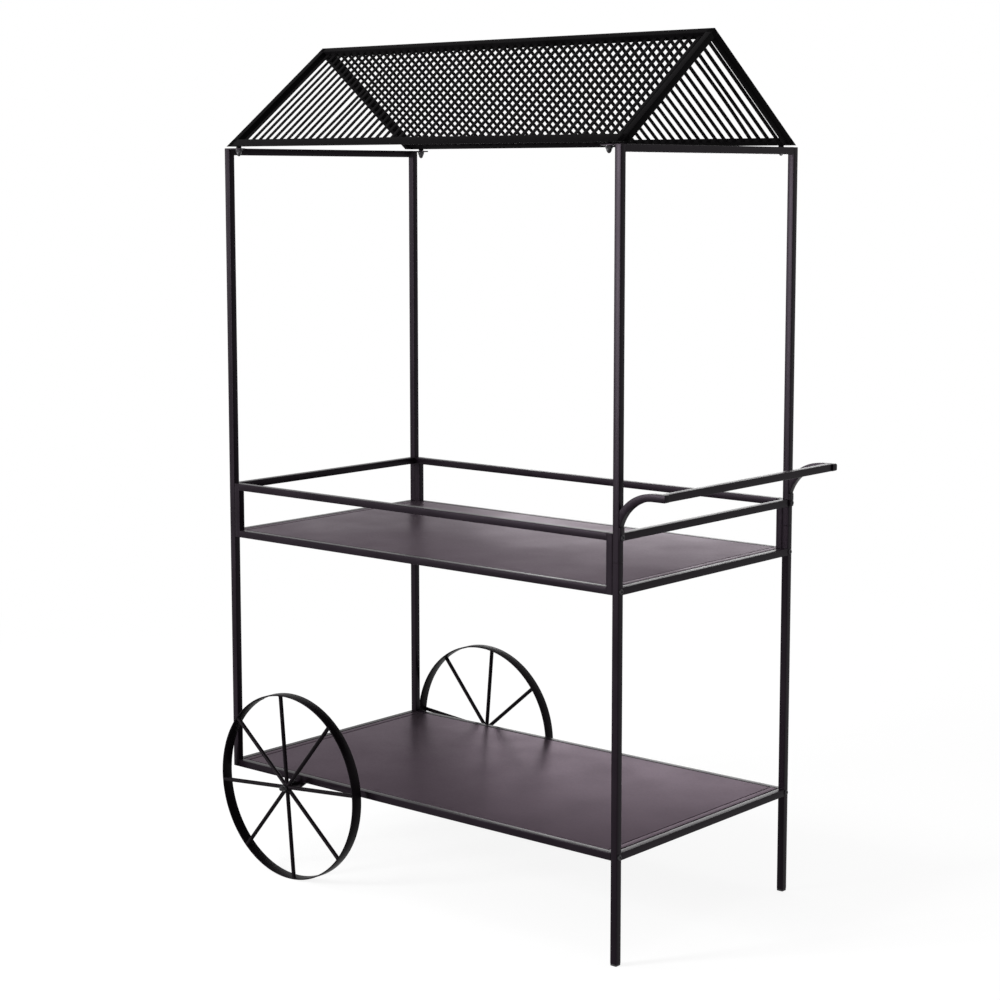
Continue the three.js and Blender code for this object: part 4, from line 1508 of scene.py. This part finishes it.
@dataclass
class Studio:
    """The pale floor, the soft light and the camera at the photograph's angle."""

    eye: tuple[float, float, float] = (3.16673, -3.78054, 1.63093)
    yaw_degrees: float = 40.02
    pitch_degrees: float = 6.9
    roll_degrees: float = 0.04
    focal_pixels: float = 2168.68
    centre_pixels: tuple[float, float] = (520.0, 440.0)
    frame_pixels: float = 1000.0
    sensor: float = 36.0
    room_light: float = 0.33
    lamps: tuple[SoftLamp, ...] = (
        SoftLamp("left_soft_lamp", (-2.0, -4.0, 1.75), 205.0, 0.9, 2.1, (0.2, 0.0, 1.2)),
        SoftLamp("front_soft_lamp", (-4.6, -3.6, 1.9), 40.0, 1.6, 1.8),
        SoftLamp("right_soft_lamp", (-2.0, 5.0, 1.3), 38.0, 3.7, 1.3),
        SoftLamp("top_soft_lamp", (0.0, 0.0, 4.0), 30.0, 3.0, 3.0),
    )

    def camera(self) -> None:
        """Sets up the camera."""
        data = bpy.data.cameras.new("studio_camera")
        data.sensor_width = self.sensor
        data.lens = self.focal_pixels * self.sensor / self.frame_pixels
        data.shift_x = (self.frame_pixels / 2 - self.centre_pixels[0]) / self.frame_pixels
        data.shift_y = (self.centre_pixels[1] - self.frame_pixels / 2) / self.frame_pixels
        data.clip_start, data.clip_end = 0.1, 100.0
        eye = bpy.data.objects.new("studio_camera", data)
        yaw, pitch, roll = (math.radians(v) for v in (self.yaw_degrees, self.pitch_degrees, self.roll_degrees))
        ahead = Vector((-math.sin(yaw) * math.cos(pitch), math.cos(yaw) * math.cos(pitch), -math.sin(pitch)))
        right = Vector((math.cos(yaw), math.sin(yaw), 0))
        up = right.cross(ahead)
        leaning_right = right * math.cos(roll) + up * math.sin(roll)
        leaning_up = up * math.cos(roll) - right * math.sin(roll)
        turn = Matrix((leaning_right, leaning_up, -ahead)).transposed()
        eye.matrix_world = Matrix.Translation(self.eye) @ turn.to_4x4()
        bpy.context.scene.collection.objects.link(eye)
        bpy.context.scene.camera = eye

    def floor(self) -> None:
        """Lays the floor."""
        half, z = 14.0, -0.0002
        mesh = bpy.data.meshes.new("floor")
        mesh.from_pydata([(-half, -half, z), (half, -half, z), (half, half, z), (-half, half, z)], [],
                         [(0, 1, 2, 3)])
        mesh.materials.append(PaleFloor().material())
        floor = bpy.data.objects.new("floor", mesh)
        bpy.context.scene.collection.objects.link(floor)

    def room(self) -> None:
        """Fills the room with even light, and shows it white."""
        world = bpy.data.worlds.new("white_room")
        world.use_nodes = True
        tree = world.node_tree
        tree.nodes.clear()
        rays = tree.nodes.new("ShaderNodeLightPath")
        seen = None
        for ray in ("Is Camera Ray", "Is Glossy Ray", "Is Transmission Ray"):
            if seen is None:
                seen = rays.outputs[ray]
                continue
            either = tree.nodes.new("ShaderNodeMath")
            either.operation = "MAXIMUM"
            tree.links.new(seen, either.inputs[0])
            tree.links.new(rays.outputs[ray], either.inputs[1])
            seen = either.outputs[0]
        strength = tree.nodes.new("ShaderNodeMapRange")
        strength.inputs["To Min"].default_value = self.room_light
        strength.inputs["To Max"].default_value = 1.0
        tree.links.new(seen, strength.inputs["Value"])
        light = tree.nodes.new("ShaderNodeBackground")
        light.inputs["Color"].default_value = (1, 1, 1, 1)
        tree.links.new(strength.outputs["Result"], light.inputs["Strength"])
        output = tree.nodes.new("ShaderNodeOutputWorld")
        tree.links.new(light.outputs[0], output.inputs["Surface"])
        bpy.context.scene.world = world

    def build(self) -> None:
        """Sets the studio up."""
        self.camera()
        self.floor()
        self.room()
        for lamp in self.lamps:
            lamp.build()
        bpy.context.scene.view_settings.view_transform = "Standard"


def main() -> None:
    """Builds and dresses every sub-assembly, and sets up the studio."""
    logging.basicConfig(level=logging.INFO, format="%(name)s: %(message)s")
    shop = Workshop()
    assemblies: tuple[Any, ...] = (
        EndFrames(),
        TraySides(),
        ShelfRails(),
        Deck("tray", SIZES.tray_top),
        Deck("shelf", SIZES.shelf_top),
        FrameBolts(),
        RoofBolts(),
        PushHandle(),
        RunningGear(),
        Wheel(Side.LEFT, 5.0),
        Wheel(Side.RIGHT, -5.0),
        RoofSlope(Side.LEFT, {10: 0.005}),
        RoofSlope(Side.RIGHT, {44: 0.005}),
    )
    for assembly in assemblies:
        assembly.build(shop)
    Studio().build()
    log.info("%d pieces made", shop.made)


if __name__ == "__main__":
    main()
